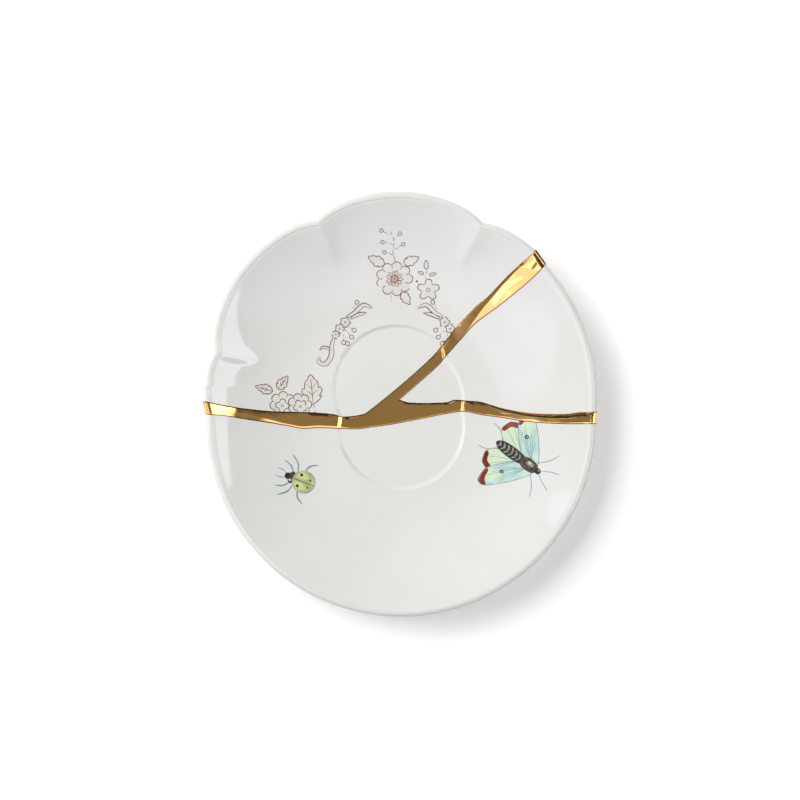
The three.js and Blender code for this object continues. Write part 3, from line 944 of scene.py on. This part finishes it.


# The painted shade along the gold's edges, a dark line, ends between these distances from the seam's edge, in
# millimetres
PAINTED_EDGE_SHADE_SPAN = (0.34, 0.54)
# The colour that the painted shade along the edges multiplies the gold by
PAINTED_EDGE_SHADE_TINT = (0.2, 0.1, 0.05)


def mirror_gold():
    """Polished gold under a clear coat, with painted shade along its edges: a dark brown line, left without
    the coat.
    """
    material, tree, shader = new_material("gold")
    edge = add(tree, "ShaderNodeAttribute", {}, attribute_name="edge_distance").outputs["Fac"]
    tint = ramp(tree, noise(tree, 60.0, 4.0), even((0.86, 0.45, 0.075), (0.92, 0.5, 0.11), 0.15))
    # Painted shade: the gold's colour darkens to brown near the seam's edges
    outline = ramp(tree, edge, [(PAINTED_EDGE_SHADE_SPAN[0], PAINTED_EDGE_SHADE_TINT), (PAINTED_EDGE_SHADE_SPAN[1], (1.0, 1.0, 1.0))])
    feed(tree, shader, {
        "Base Color": blend(tree, "MULTIPLY", tint, outline),
        "Metallic": 1.0,
        "Roughness": map_range(tree, noise(tree, 350.0, 4.0), 0.0, 1.0, 0.05, 0.13),
        "Coat IOR": 1.8,
        "Coat Roughness": 0.05,
        # The coat is left off the painted shade along the edges
        "Coat Weight": map_range(tree, edge, *PAINTED_EDGE_SHADE_SPAN),
        "Normal": bump(tree, noise(tree, 700.0, 2.0), 0.00002, 0.25),
    })
    return material


# The painter's colours: two close tints, how far apart they lie in the mottle, and the mottle's fineness
COLOURS = {
    "ink_brown": ((0.075, 0.045, 0.036), (0.2, 0.12, 0.095), 0.2, 420.0),
    "ink_red": ((0.1, 0.036, 0.03), (0.24, 0.1, 0.08), 0.2, 420.0),
    "ink_blush": ((0.48, 0.27, 0.2), (0.6, 0.4, 0.32), 0.15, 300.0),
    "wash_blush": ((0.62, 0.59, 0.55), (0.66, 0.645, 0.615), 0.15, 160.0),
    "wash_cream": ((0.61, 0.6, 0.54), (0.65, 0.645, 0.605), 0.15, 160.0),
    "wash_sage": ((0.3, 0.34, 0.14), (0.5, 0.52, 0.26), 0.14, 240.0),
    "wash_lime": ((0.46, 0.49, 0.2), (0.62, 0.62, 0.34), 0.14, 240.0),
    "wash_aqua": ((0.38, 0.56, 0.53), (0.56, 0.67, 0.62), 0.16, 200.0),
    "wash_mint": ((0.52, 0.66, 0.5), (0.64, 0.71, 0.5), 0.16, 200.0),
    "ink_rust": ((0.12, 0.015, 0.01), (0.32, 0.04, 0.02), 0.14, 500.0),
    "ink_slate": ((0.12, 0.19, 0.2), (0.3, 0.4, 0.4), 0.18, 380.0),
    "ink_umber": ((0.05, 0.035, 0.025), (0.12, 0.09, 0.07), 0.16, 300.0),
    "wash_taupe": ((0.15, 0.125, 0.1), (0.34, 0.31, 0.26), 0.16, 420.0),
    "ink_black": ((0.012, 0.014, 0.012), (0.04, 0.045, 0.04), 0.2, 300.0),
}
GLAZE = glazed("glaze", even((0.65, 0.653, 0.62), (0.67, 0.673, 0.64)), 28.0)
BARE_FOOT = bare_foot()
PAINTS = {
    name: glazed(name, even(*tints, spread), scale) for name, (*tints, spread, scale) in COLOURS.items()
}


# The painting
# Every line is drawn this much wider than its nominal width, in steps of this length
PEN = 1.2
BRUSH_STEP = 0.42
# Points along one petal's edge
PETAL_POINTS = 9


def circle(count):
    """Unit vectors all round, from east to east."""
    bearings = np.linspace(0, 2 * math.pi, count, endpoint=False)
    return np.stack([np.cos(bearings), np.sin(bearings)], axis=-1)


class Painting:
    """Flat painted shapes in plan, the later ones over the earlier ones."""

    def __init__(self, seed):
        self.shapes = []
        self.draw = random.Random(seed)

    def fill(self, ink, outline):
        self.shapes.append((ink, np.array(outline, dtype=float)))

    def band(self, ink, line, half):
        """A band along a line, given by half its width at each point. Its two edges are returned."""
        offset = sideways(line) * half[:, None]
        self.fill(ink, np.vstack([line + offset, (line - offset)[::-1]]))
        return line + offset, line - offset

    def stroke(self, ink, points, width=0.27, taper=0.55, closed=False):
        """A brush line along a smooth curve, thinner at its ends unless it is closed."""
        line = spline(points, BRUSH_STEP, closed)
        if closed:
            line = np.vstack([line, line[:1]])
            taper = 0.0
        along = np.linspace(0, 1, len(line))
        self.band(ink, line, PEN * width / 2 * (1 - taper + taper * np.sin(math.pi * along) ** 0.5))

    def strokes(self, ink, lines, width=0.27, taper=0.55):
        for line in lines:
            self.stroke(ink, line, width, taper)

    def sketch(self, ink, points, width, pieces):
        """A line drawn in several touches of the pen, with small gaps."""
        line = spline(points, 0.3)
        count = len(line)
        inner = sorted(round(count * (i + self.draw.uniform(-0.2, 0.2)) / pieces) for i in range(1, pieces))
        cuts = [0, *inner, count]
        for start, end in zip(cuts[:-1], cuts[1:]):
            gap = self.draw.choice((0, 0, 1, 2))
            part = line[start : max(end - gap, start + 3)]
            if len(part) > 2:
                self.stroke(ink, part[:: max(1, len(part) // 6)], width * self.draw.uniform(0.8, 1.15), 0.6)

    def flower(self, centre, radius, petals, turn, ink, wash, depth=0.2, squash=1.0, heart=True):
        bearings = np.linspace(0, 2 * math.pi, petals * PETAL_POINTS, endpoint=False)
        reach = radius * (1 - depth + depth * np.abs(np.sin(petals * bearings / 2)) ** 0.7)
        bearings = bearings + turn
        outline = np.stack([reach * np.cos(bearings), squash * reach * np.sin(bearings)], axis=-1) + centre
        self.fill(wash, outline)
        for petal in range(petals):
            arc = [outline[(petal * PETAL_POINTS + i) % len(outline)] for i in range(PETAL_POINTS + 1)]
            self.stroke(ink, arc[::3] if self.draw.random() < 0.8 else arc[:7:3], 0.32, 0.5)
            if petals > 6:
                root = arc[0] + 0.3 * self.draw.uniform(0.6, 1.0) * (centre - arc[0])
                self.stroke(ink, [arc[0], (arc[0] + root) / 2 + 0.05 * (arc[1] - arc[0]), root], 0.27, 0.5)
        if heart:
            self.stroke(ink, centre + 0.16 * radius * (circle(8) * (1, squash)), 0.2, closed=True)

    def stamens(self, centre, radius, count, ink):
        for i in range(count):
            bearing = 2 * math.pi * i / count + self.draw.uniform(-0.1, 0.1)
            reach = radius * self.draw.uniform(0.75, 1.0)
            heading = np.array([math.cos(bearing), math.sin(bearing)])
            across = np.array([-heading[1], heading[0]])
            root, tip = centre + 0.35 * radius * heading, centre + reach * heading
            self.stroke(ink, [root, (root + tip) / 2 + 0.16 * radius * across, tip], 0.24, 0.4)
            self.stroke(ink, [tip, (root + tip) / 2 - 0.14 * radius * across, root], 0.2, 0.4)

    def leaf(self, base, tip, width, ink, wash, lobes=3, veins=True):
        """A pointed leaf with teeth along both sides."""
        base, tip = np.array(base, float), np.array(tip, float)
        heading = tip - base
        across = np.array([-heading[1], heading[0]]) / np.hypot(*heading)
        sides, touches = [], []

        def at(along, side, share):
            belly = math.sin(math.pi * along**0.75) * width / 2
            return base + heading * along + side * share * belly * across

        for side in (1, -1):
            edge, start = [], base
            for i in range(lobes):
                point = at((i + 0.95) / (lobes + 0.5), side, 1.15)
                bulge = at((i + 0.45) / (lobes + 0.5), side, 1.12)
                valley = at((i + 0.9) / (lobes + 0.5), side, 0.8)
                touches += [[start, bulge, point], [point, (point + valley) / 2, valley]]
                edge += [spline([start, bulge, point], 0.4)[:-1], [point]]
                start = valley
            last = [start, (start + tip) / 2 + 0.06 * side * width * across, tip]
            touches.append(last)
            edge.append(spline(last, 0.4))
            sides.append(np.vstack(edge))
        self.fill(wash, np.vstack([sides[0], sides[1][::-1][1:-1]]))
        self.strokes(ink, touches, 0.31, 0.4)
        if veins:
            self.stroke(ink, [base, base + heading * 0.45, base + heading * 0.86], 0.25, 0.5)
            for along in (0.3, 0.52):
                for side in (1, -1):
                    root = base + heading * along
                    end = root + heading * 0.17 + side * width * 0.27 * across
                    self.stroke(ink, [root, (root + end) / 2, end], 0.18, 0.6)

    def berry(self, place, radius, stem, ink, wash):
        place, stem = np.array(place, float), np.array(stem, float)
        ring = place + radius * circle(9)
        self.fill(wash, ring)
        self.stroke(ink, ring, 0.26, closed=True)
        heading = (stem - place) / np.hypot(*(stem - place))
        self.sketch(ink, [place + heading * radius, (place + stem) / 2 + 0.2 * heading[::-1], stem], 0.2, 2)

    def ribbon(self, points, width, ink, wash):
        """A scrolled ribbon: a pale band with a strong line on one side and a fine one on the other."""
        line = spline(points, 0.45)
        along = np.linspace(0, 1, len(line))
        left, right = self.band(wash, line, width / 2 * (0.25 + 0.75 * np.sin(math.pi * along) ** 0.7))
        self.stroke(ink, left[::4], 0.22, 0.4)
        self.stroke(ink, right[::4], 0.34, 0.4)


def rose_spray(art):
    """The upper spray: a full rose with leaves, and berries above it."""
    rose = np.array([-2.6, 50.0])

    def at(*places):
        return [rose + place for place in places]

    art.sketch("ink_brown", at((0.4, 6.6), (-0.6, 11.0), (-0.2, 15.5), (-2.0, 19.4)), 0.22, 5)
    for berry, stem in (
        ((-5.2, 19.2), (-1.6, 17.2)), ((2.2, 18.0), (-0.6, 15.2)), ((-4.8, 14.6), (-0.4, 13.6)),
        ((3.6, 13.8), (-0.4, 11.6)), ((-4.1, 10.6), (-0.4, 9.4)),
    ):
        art.berry(rose + berry, 0.72, rose + stem, "ink_brown", "wash_blush")
    art.leaf(*at((-4.0, 5.6), (-10.6, 8.9)), 3.8, "ink_red", "wash_blush", veins=False)
    art.leaf(*at((3.8, 6.0), (9.9, 8.6)), 3.6, "ink_red", "wash_blush", veins=False)
    art.leaf(*at((3.0, -5.4), (6.2, -10.4)), 3.4, "ink_red", "wash_blush", 2, veins=False)
    art.sketch("ink_brown", at((-1.2, -6.4), (-1.4, -8.2), (-1.3, -9.8)), 0.22, 2)
    art.flower(rose, 7.4, 9, 0.35, "ink_red", "wash_blush", 0.17, 0.92, heart=False)
    art.flower(rose, 1.5, 6, 0.1, "ink_red", "ink_blush", 0.3, 1.0)
    art.stamens(rose, 3.7, 11, "ink_red")


def blossom_spray(art):
    """The small blossom beside the rose, with its buds."""
    blossom = np.array([11.0, 45.6])

    def at(*places):
        return [blossom + place for place in places]

    art.flower(blossom, 4.5, 5, 0.9, "ink_brown", "wash_blush", 0.42, 0.95)
    art.sketch("ink_brown", at((-1.2, 4.4), (-0.6, 7.4), (-0.9, 10.0)), 0.22, 3)
    for base, tip, width in (((-0.8, 8.2), (-0.9, 11.9), 1.7), ((0.4, 5.8), (3.2, 6.6), 1.1),
                             ((-1.8, 6.3), (-4.2, 7.2), 1.1)):
        art.leaf(*at(base, tip), width, "ink_brown", "wash_blush", 2, veins=False)
    art.berry(blossom + (-4.6, 3.4), 0.34, blossom + (-3.2, 1.8), "ink_red", "ink_red")


def scroll_spray(art, mirror):
    """A scroll beside the well, the left one or the right one, which are mirrored about the rose."""
    ink, wash, middle = "ink_brown", "wash_blush", -2.4

    def at(*places):
        return [np.array([middle + mirror * (x - middle), y]) for x, y in places]

    art.ribbon(at((-11.6, 38.2), (-15.0, 39.5), (-18.6, 36.4), (-22.0, 34.6)), 1.7, ink, wash)
    art.ribbon(at((-13.8, 36.4), (-17.2, 35.6), (-20.4, 33.9)), 1.3, ink, wash)
    berry, stem = at((-17.6, 40.6), (-19.4, 37.8))
    art.berry(berry, 0.8, stem, ink, wash)
    curl = at((-26.6, 27.2), (-27.8, 23.0), (-28.0, 19.0), (-30.6, 15.6), (-33.2, 17.2), (-32.2, 19.4))
    art.ribbon(curl, 1.9, "ink_red", wash)
    art.ribbon(at((-28.2, 21.4), (-30.6, 22.6), (-32.6, 21.4)), 1.1, ink, wash)
    for centre, size in zip(at((-22.4, 32.6), (-24.6, 30.0), (-26.2, 27.6)), (2.1, 1.9, 1.6)):
        art.flower(centre, size, 5, 0.5 * mirror, ink, wash, 0.3)
    berries = at((-18.8, 29.4), (-19.8, 26.6), (-23.0, 24.4), (-21.4, 24.0))
    for berry, stem in zip(berries, at((-21.6, 31.4), (-22.4, 29.6), (-23.4, 28.2), (-22.4, 27.0))):
        art.berry(berry, 0.85, stem, ink, wash)


def left_spray(art):
    """The spray of leaves and blossoms that the gold seam cuts."""
    for base, tip, width in (((-51.4, 4.8), (-58.4, 6.9), 3.6), ((-49.4, 5.6), (-45.4, 11.0), 3.7),
                             ((-35.2, -0.4), (-36.4, 11.6), 7.2)):
        art.leaf(base, tip, width, "ink_red", "wash_blush")
    art.sketch("ink_brown", [(-35.2, -0.2), (-34.6, -2.4), (-34.4, -4.6)], 0.26, 2)
    for centre, size, turn in (((-47.4, -0.2), 5.2, 0.2), ((-40.6, -0.6), 4.8, 0.5)):
        art.flower(np.array(centre), size, 7, turn, "ink_brown", "wash_cream", 0.16, 0.95, heart=False)
    art.flower(np.array([-47.6, -0.9]), 2.7, 4, 0.7, "ink_brown", "wash_blush", 0.36)
    art.flower(np.array([-40.4, -1.3]), 2.8, 5, 0.2, "ink_brown", "wash_blush", 0.32)


def floral_sprays():
    """Sprigs of flowers, leaves, berries and scrolls, as on old printed tableware."""
    art = Painting(5)
    rose_spray(art)
    blossom_spray(art)
    scroll_spray(art, 1)
    scroll_spray(art, -1)
    left_spray(art)
    return art.shapes


def placed_at(origin, heading):
    """Moves points drawn along an animal's own axis to its place and heading, from its left or right side."""
    cosine_of, sine_of = math.cos(math.radians(heading)), math.sin(math.radians(heading))

    def at(points, side=1):
        x, y = np.array(points, dtype=float).T * [[1], [side]]
        return np.stack([x * cosine_of - y * sine_of, x * sine_of + y * cosine_of], axis=-1) + origin

    return at


def oval(centre, length, width):
    return np.array(centre) + (length / 2, width / 2) * circle(22)


def painted_beetle():
    """A small round beetle, its head to the left."""
    art = Painting(8)
    at = placed_at((-39.6, -31.4), 158.0)
    for side in (1, -1):
        for points, width in (
            ([(4.4, 1.6), (6.4, 4.2), (9.6, 5.4)], 0.5), ([(3.0, 2.6), (4.2, 6.0), (7.4, 8.6)], 0.55),
            ([(0.6, 3.6), (-0.6, 6.6), (-3.4, 8.4)], 0.55), ([(7.0, 0.6), (8.8, 1.6), (11.2, 1.4)], 0.3),
        ):
            art.stroke("ink_slate", at(points, side), width, 0.5)
    art.fill("ink_black", at(oval((6.3, 0), 2.4, 2.7)))
    art.fill("ink_umber", at(oval((4.5, 0), 3.2, 5.0)))
    art.fill("wash_aqua", at(oval((4.9, 1.2), 1.2, 0.8)))
    art.fill("ink_slate", at(oval((-0.6, 0), 9.6, 9.2)))
    wing = [(4.0, 0.12), (3.4, 2.4), (1.6, 3.9), (-0.8, 4.3), (-3.2, 3.3), (-4.9, 1.2), (-5.1, 0.12)]
    shine = [(2.8, 0.9), (2.0, 2.9), (-0.4, 3.3), (-2.4, 2.2), (-1.0, 1.2)]
    for side in (1, -1):
        art.fill("wash_sage", at(spline(wing, 0.5), side))
        art.fill("wash_lime", at(spline(shine, 0.5, closed=True), side))
        art.fill("ink_black", at(oval((1.2, 2.35 * side), 1.3, 1.2)))
        art.fill("ink_umber", at(oval((-2.9, 1.5 * side), 0.7, 0.8)))
    art.stroke("ink_umber", at([(4.0, 0.0), (0.0, 0.1), (-5.1, 0.0)]), 0.24, 0.3)
    return art.shapes


def moth_wings(art, at, side):
    """The hind wing and the fore wing of one side, with their margins, veins and eye spot."""
    def fill(ink, points, spacing=0.6):
        art.fill(ink, at(spline(points, spacing, closed=True), side))

    hind = [(2.0, 1.2), (-2.0, 7.0), (-7.4, 11.0), (-11.0, 9.6), (-12.6, 5.6), (-9.6, 2.2), (-4.0, 1.0)]
    fill("wash_mint", hind)
    art.stroke("ink_slate", at(hind, side), 0.22, closed=True)
    band = [(-7.8, 11.0), (-11.2, 9.7), (-12.7, 5.6), (-11.2, 5.4), (-10.0, 8.2), (-7.6, 9.3)]
    fill("ink_rust", band, 0.5)
    art.stroke("ink_umber", at(band[:3], side), 0.4, 0.5)
    fore = [(7.4, 1.2), (5.6, 5.6), (0.4, 12.0), (-5.4, 17.2), (-8.0, 16.6), (-8.6, 11.6), (-4.6, 6.0),
            (1.0, 1.4)]
    fill("wash_aqua", fore)
    fill("wash_mint", [(-1.6, 9.8), (-3.2, 13.6), (-6.2, 15.8), (-7.2, 12.0), (-4.6, 8.2)])
    margin = [(-4.6, 16.9), (-8.2, 16.8), (-8.8, 11.4), (-7.3, 11.2), (-6.6, 14.6)]
    fill("ink_rust", margin, 0.5)
    art.stroke("ink_umber", at(margin[:3], side), 0.45, 0.5)
    art.stroke("ink_slate", at(fore, side), 0.24, closed=True)
    for x, y in ((-3.0, 12.8), (-5.6, 9.4), (1.6, 9.0), (-1.4, 13.0), (-6.6, 13.2), (-6.0, 11.2)):
        start = 5.4 - 0.3 * y / 4
        vein = [(start, 1.8), ((start + x) / 2 - 0.3, 0.55 * y), (x, y)]
        art.stroke("ink_slate", at(vein, side), 0.16, 0.5)
    for x, y in ((-8.6, 8.8), (-10.4, 6.6), (-6.0, 9.6)):
        art.stroke("ink_slate", at([(0.0, 1.6), (x / 2, 0.55 * y), (x, y)], side), 0.15, 0.5)
    art.fill("ink_black", at(oval((-2.6, 8.6 * side), 1.7, 1.6)))
    art.fill("wash_mint", at(oval((-2.5, 8.7 * side), 0.6, 0.6)))


def painted_moth():
    """A moth with spread wings, its head to the lower right."""
    art = Painting(9)
    at = placed_at((47.6, -22.0), -36.0)
    for side in (1, -1):
        for points, width in (
            ([(9.6, 0.5), (13.0, 2.6), (16.6, 4.0)], 0.28), ([(6.0, 1.6), (10.2, 6.0), (12.4, 10.4)], 0.3),
            ([(-9.0, 1.0), (-12.6, 4.6), (-16.4, 5.4)], 0.3),
        ):
            art.stroke("ink_slate", at(points, side), width, 0.5)
    moth_wings(art, at, 1)
    moth_wings(art, at, -1)
    abdomen = [(-11.4, 0.0), (-9.6, 1.7), (-5.6, 2.4), (-1.0, 2.2), (1.6, 1.5), (1.6, -1.5), (-1.0, -2.2),
               (-5.6, -2.4), (-9.6, -1.7)]
    art.fill("ink_black", at(spline(abdomen, 0.5, closed=True)))
    for place, width in ((-9.9, 2.0), (-8.1, 3.0), (-6.2, 3.6), (-4.3, 3.8), (-2.4, 3.5), (-0.6, 2.9)):
        ring = [(place - 0.45, -width / 2), (place + 0.4, -width / 4), (place + 0.55, 0.0),
                (place + 0.4, width / 4), (place - 0.45, width / 2)]
        art.stroke("wash_taupe", at(ring), 0.72, 0.55)
        art.stroke("ink_umber", at([(place - 0.6, -0.7), (place, -0.6), (place + 0.7, -0.65)]), 0.26, 0.3)
    thorax = [(1.2, 1.5), (3.4, 2.5), (6.6, 2.3), (8.2, 1.2), (8.2, -1.2), (6.6, -2.3), (3.4, -2.5),
              (1.2, -1.5)]
    art.fill("ink_umber", at(spline(thorax, 0.5, closed=True)))
    art.fill("wash_taupe", at(oval((4.8, 0.5), 3.4, 2.6)))
    art.fill("wash_lime", at(oval((4.4, 0.9), 1.5, 1.0)))
    art.stroke("ink_black", at([(2.4, -0.9), (4.8, -0.4), (7.2, -0.8)]), 0.34, 0.4)
    art.stroke("ink_black", at([(3.2, 1.7), (5.0, 1.5), (6.6, 1.8)]), 0.26, 0.4)
    art.fill("ink_black", at(oval((8.9, 0.0), 2.6, 2.5)))
    art.fill("ink_slate", at(oval((9.1, 0.5), 0.9, 0.7)))
    return art.shapes


# The pieces
def glazed_fragment(name, node, saucer, edge, art):
    materials = [GLAZE, BARE_FOOT] + [PAINTS[ink] for ink in sorted({ink for ink, _ in art})]
    piece = fragment(name, saucer, EDGES[edge], art, materials)
    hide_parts(node)
    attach(piece, "root")


glazed_fragment("lobed_porcelain", "lobed_fragment", LOBED, "lobed", floral_sprays())
glazed_fragment("right_porcelain", "right_fragment", RIGHT, "right", [])
glazed_fragment("lower_porcelain", "lower_fragment", LOWER, "lower", painted_beetle() + painted_moth())
seam = gold_seam("gold_repair", [mirror_gold()])
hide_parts("gold_seam")
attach(seam, "root")


# The floor, the light and the camera
FLOOR_REACH = 6
SENSOR_WIDTH = 36.0
# The even fill for matt light, and the colour of daylight, a little bluer than white
FILL = 0.25
COOL_LIGHT = (1.0, 1.0, 1.28)
# The room that gloss shows: its brightness by direction from south, 0, to north, 1
ROOM = [(0.0, (1.4, 1.42, 1.75)), (0.34, (1.4, 1.42, 1.75)), (0.41, (0.28, 0.28, 0.28)),
        (0.55, (0.28, 0.28, 0.28)), (0.63, (0.06, 0.06, 0.06)), (1.0, (0.06, 0.06, 0.06))]
# Soft round patches of light in it: their direction, the angle to their edge, its fading and the brightness
PATCHES = ((138, 34, 18, 12, 0.5), (152, 48, 4, 3, 2.0), (212, 28, 15, 3, 1.5), (210, 35, 8, 5, 2.3))
# Two low strips of light, which only the steep ring and lip reflect: their bearing, the cosines of the angle
# over which they fade in sideways, their fading in and out in height, and their brightness
STRIPS = ((192, 0.66, 0.78), (-18, 0.66, 0.76))
STRIP_UPPER_EDGE = (56, 59)
STRIP_LOWER_EDGE = (76, 71)
STRIP_BRIGHTNESS = 3.0


def studio_floor():
    mesh = bpy.data.meshes.new("studio_floor")
    corners = [(x * FLOOR_REACH, y * FLOOR_REACH, 0) for x, y in ((-1, -1), (1, -1), (1, 1), (-1, 1))]
    mesh.from_pydata(corners, [], [(0, 1, 2, 3)])
    floor = bpy.data.objects.new("studio_floor", mesh)
    bpy.context.scene.collection.objects.link(floor)
    material, tree, shader = new_material("pale_floor")
    feed(tree, shader, {
        "Base Color": ramp(tree, noise(tree, 3.0), even((0.94, 0.94, 0.94), (0.955, 0.955, 0.955), 0.2)),
        "Roughness": 0.9,
        "Emission Color": (1, 1, 1, 1),
        "Emission Strength": 0.16,
    })
    mesh.materials.append(material)


def toward(azimuth, zenith):
    """The direction in which something is seen from the saucer, in degrees."""
    turn, lean = math.radians(azimuth), math.radians(zenith)
    return Vector((math.cos(turn) * math.sin(lean), math.sin(turn) * math.sin(lean), math.cos(lean)))


def cosine(degrees):
    return math.cos(math.radians(degrees))


def softbox(name, direction, distance, size, radiance, colour, seen_in_gloss):
    """A soft light that faces the saucer, given by the direction it is seen in and by its brightness."""
    light = bpy.data.lights.new(name, "AREA")
    light.shape = "RECTANGLE"
    light.size, light.size_y = size
    light.energy = radiance * math.pi * size[0] * size[1]
    light.color = colour
    lamp = bpy.data.objects.new(name, light)
    lamp.location = direction * distance
    lamp.rotation_euler = direction.to_track_quat("Z", "Y").to_euler()
    lamp.visible_glossy = seen_in_gloss
    bpy.context.scene.collection.objects.link(lamp)


def studio_world():
    """An even fill for matt light, and for gloss a room: bright in front, dim overhead, dark behind."""
    world = bpy.data.worlds.new("studio")
    bpy.context.scene.world = world
    world.use_nodes = True
    tree = world.node_tree
    direction = add(tree, "ShaderNodeTexCoord", {}).outputs["Generated"]
    split = add(tree, "ShaderNodeSeparateXYZ", {"Vector": direction}).outputs

    def nearness(azimuth, zenith):
        inputs = {0: direction, 1: toward(azimuth, zenith)}
        return add(tree, "ShaderNodeVectorMath", inputs, operation="DOT_PRODUCT").outputs["Value"]

    def product(first, second):
        return add(tree, "ShaderNodeMath", {0: first, 1: second}, operation="MULTIPLY").outputs["Value"]

    room = ramp(tree, map_range(tree, split["Y"], -1.0, 1.0), ROOM)
    for azimuth, zenith, reach, fading, brightness in PATCHES:
        fade = cosine(reach + fading), cosine(reach - fading)
        near = nearness(azimuth, zenith)
        patch = map_range(tree, near, *fade, high=brightness, interpolation_type="SMOOTHSTEP")
        cooled = add(tree, "ShaderNodeVectorMath", {0: patch, 1: COOL_LIGHT}, operation="MULTIPLY")
        room = blend(tree, "LIGHTEN", room, cooled.outputs["Vector"])
    for azimuth, *sideways_fade in STRIPS:
        sector = map_range(tree, nearness(azimuth, 90), *sideways_fade)
        below = map_range(tree, split["Z"], *map(cosine, STRIP_UPPER_EDGE), high=STRIP_BRIGHTNESS)
        above = map_range(tree, split["Z"], *map(cosine, STRIP_LOWER_EDGE))
        room = blend(tree, "LIGHTEN", room, product(sector, product(below, above)))
    glossy = add(tree, "ShaderNodeLightPath", {}).outputs["Is Glossy Ray"]
    inputs = {"Factor": glossy, "A": (FILL, FILL, FILL, 1), "B": room}
    chosen = add(tree, "ShaderNodeMix", inputs, data_type="RGBA").outputs["Result"]
    feed(tree, tree.nodes["Background"], {"Color": chosen})


def overhead_camera():
    """A long lens straight above, level with the picture's sides."""
    camera_height = 2.4
    framed_width = 0.32
    framed_at = 0.0185
    lens = bpy.data.cameras.new("overhead")
    lens.sensor_width = SENSOR_WIDTH
    lens.lens = SENSOR_WIDTH * (camera_height - framed_at) / framed_width
    lens.clip_end = 100.0
    camera = bpy.data.objects.new("overhead", lens)
    camera.location = (0.00047, 0.00159, camera_height)
    bpy.context.scene.collection.objects.link(camera)
    bpy.context.scene.camera = camera


studio_floor()
studio_world()
softbox("key", toward(148, 43), 1.3, (1.1, 1.1), 5.7, (1.0, 1.0, 1.0), False)
softbox("side", toward(-6, 51), 1.2, (0.8, 0.38), 4.2, (1.0, 1.0, 1.04), True)
overhead_camera()
bpy.context.scene.view_settings.view_transform = "Standard"
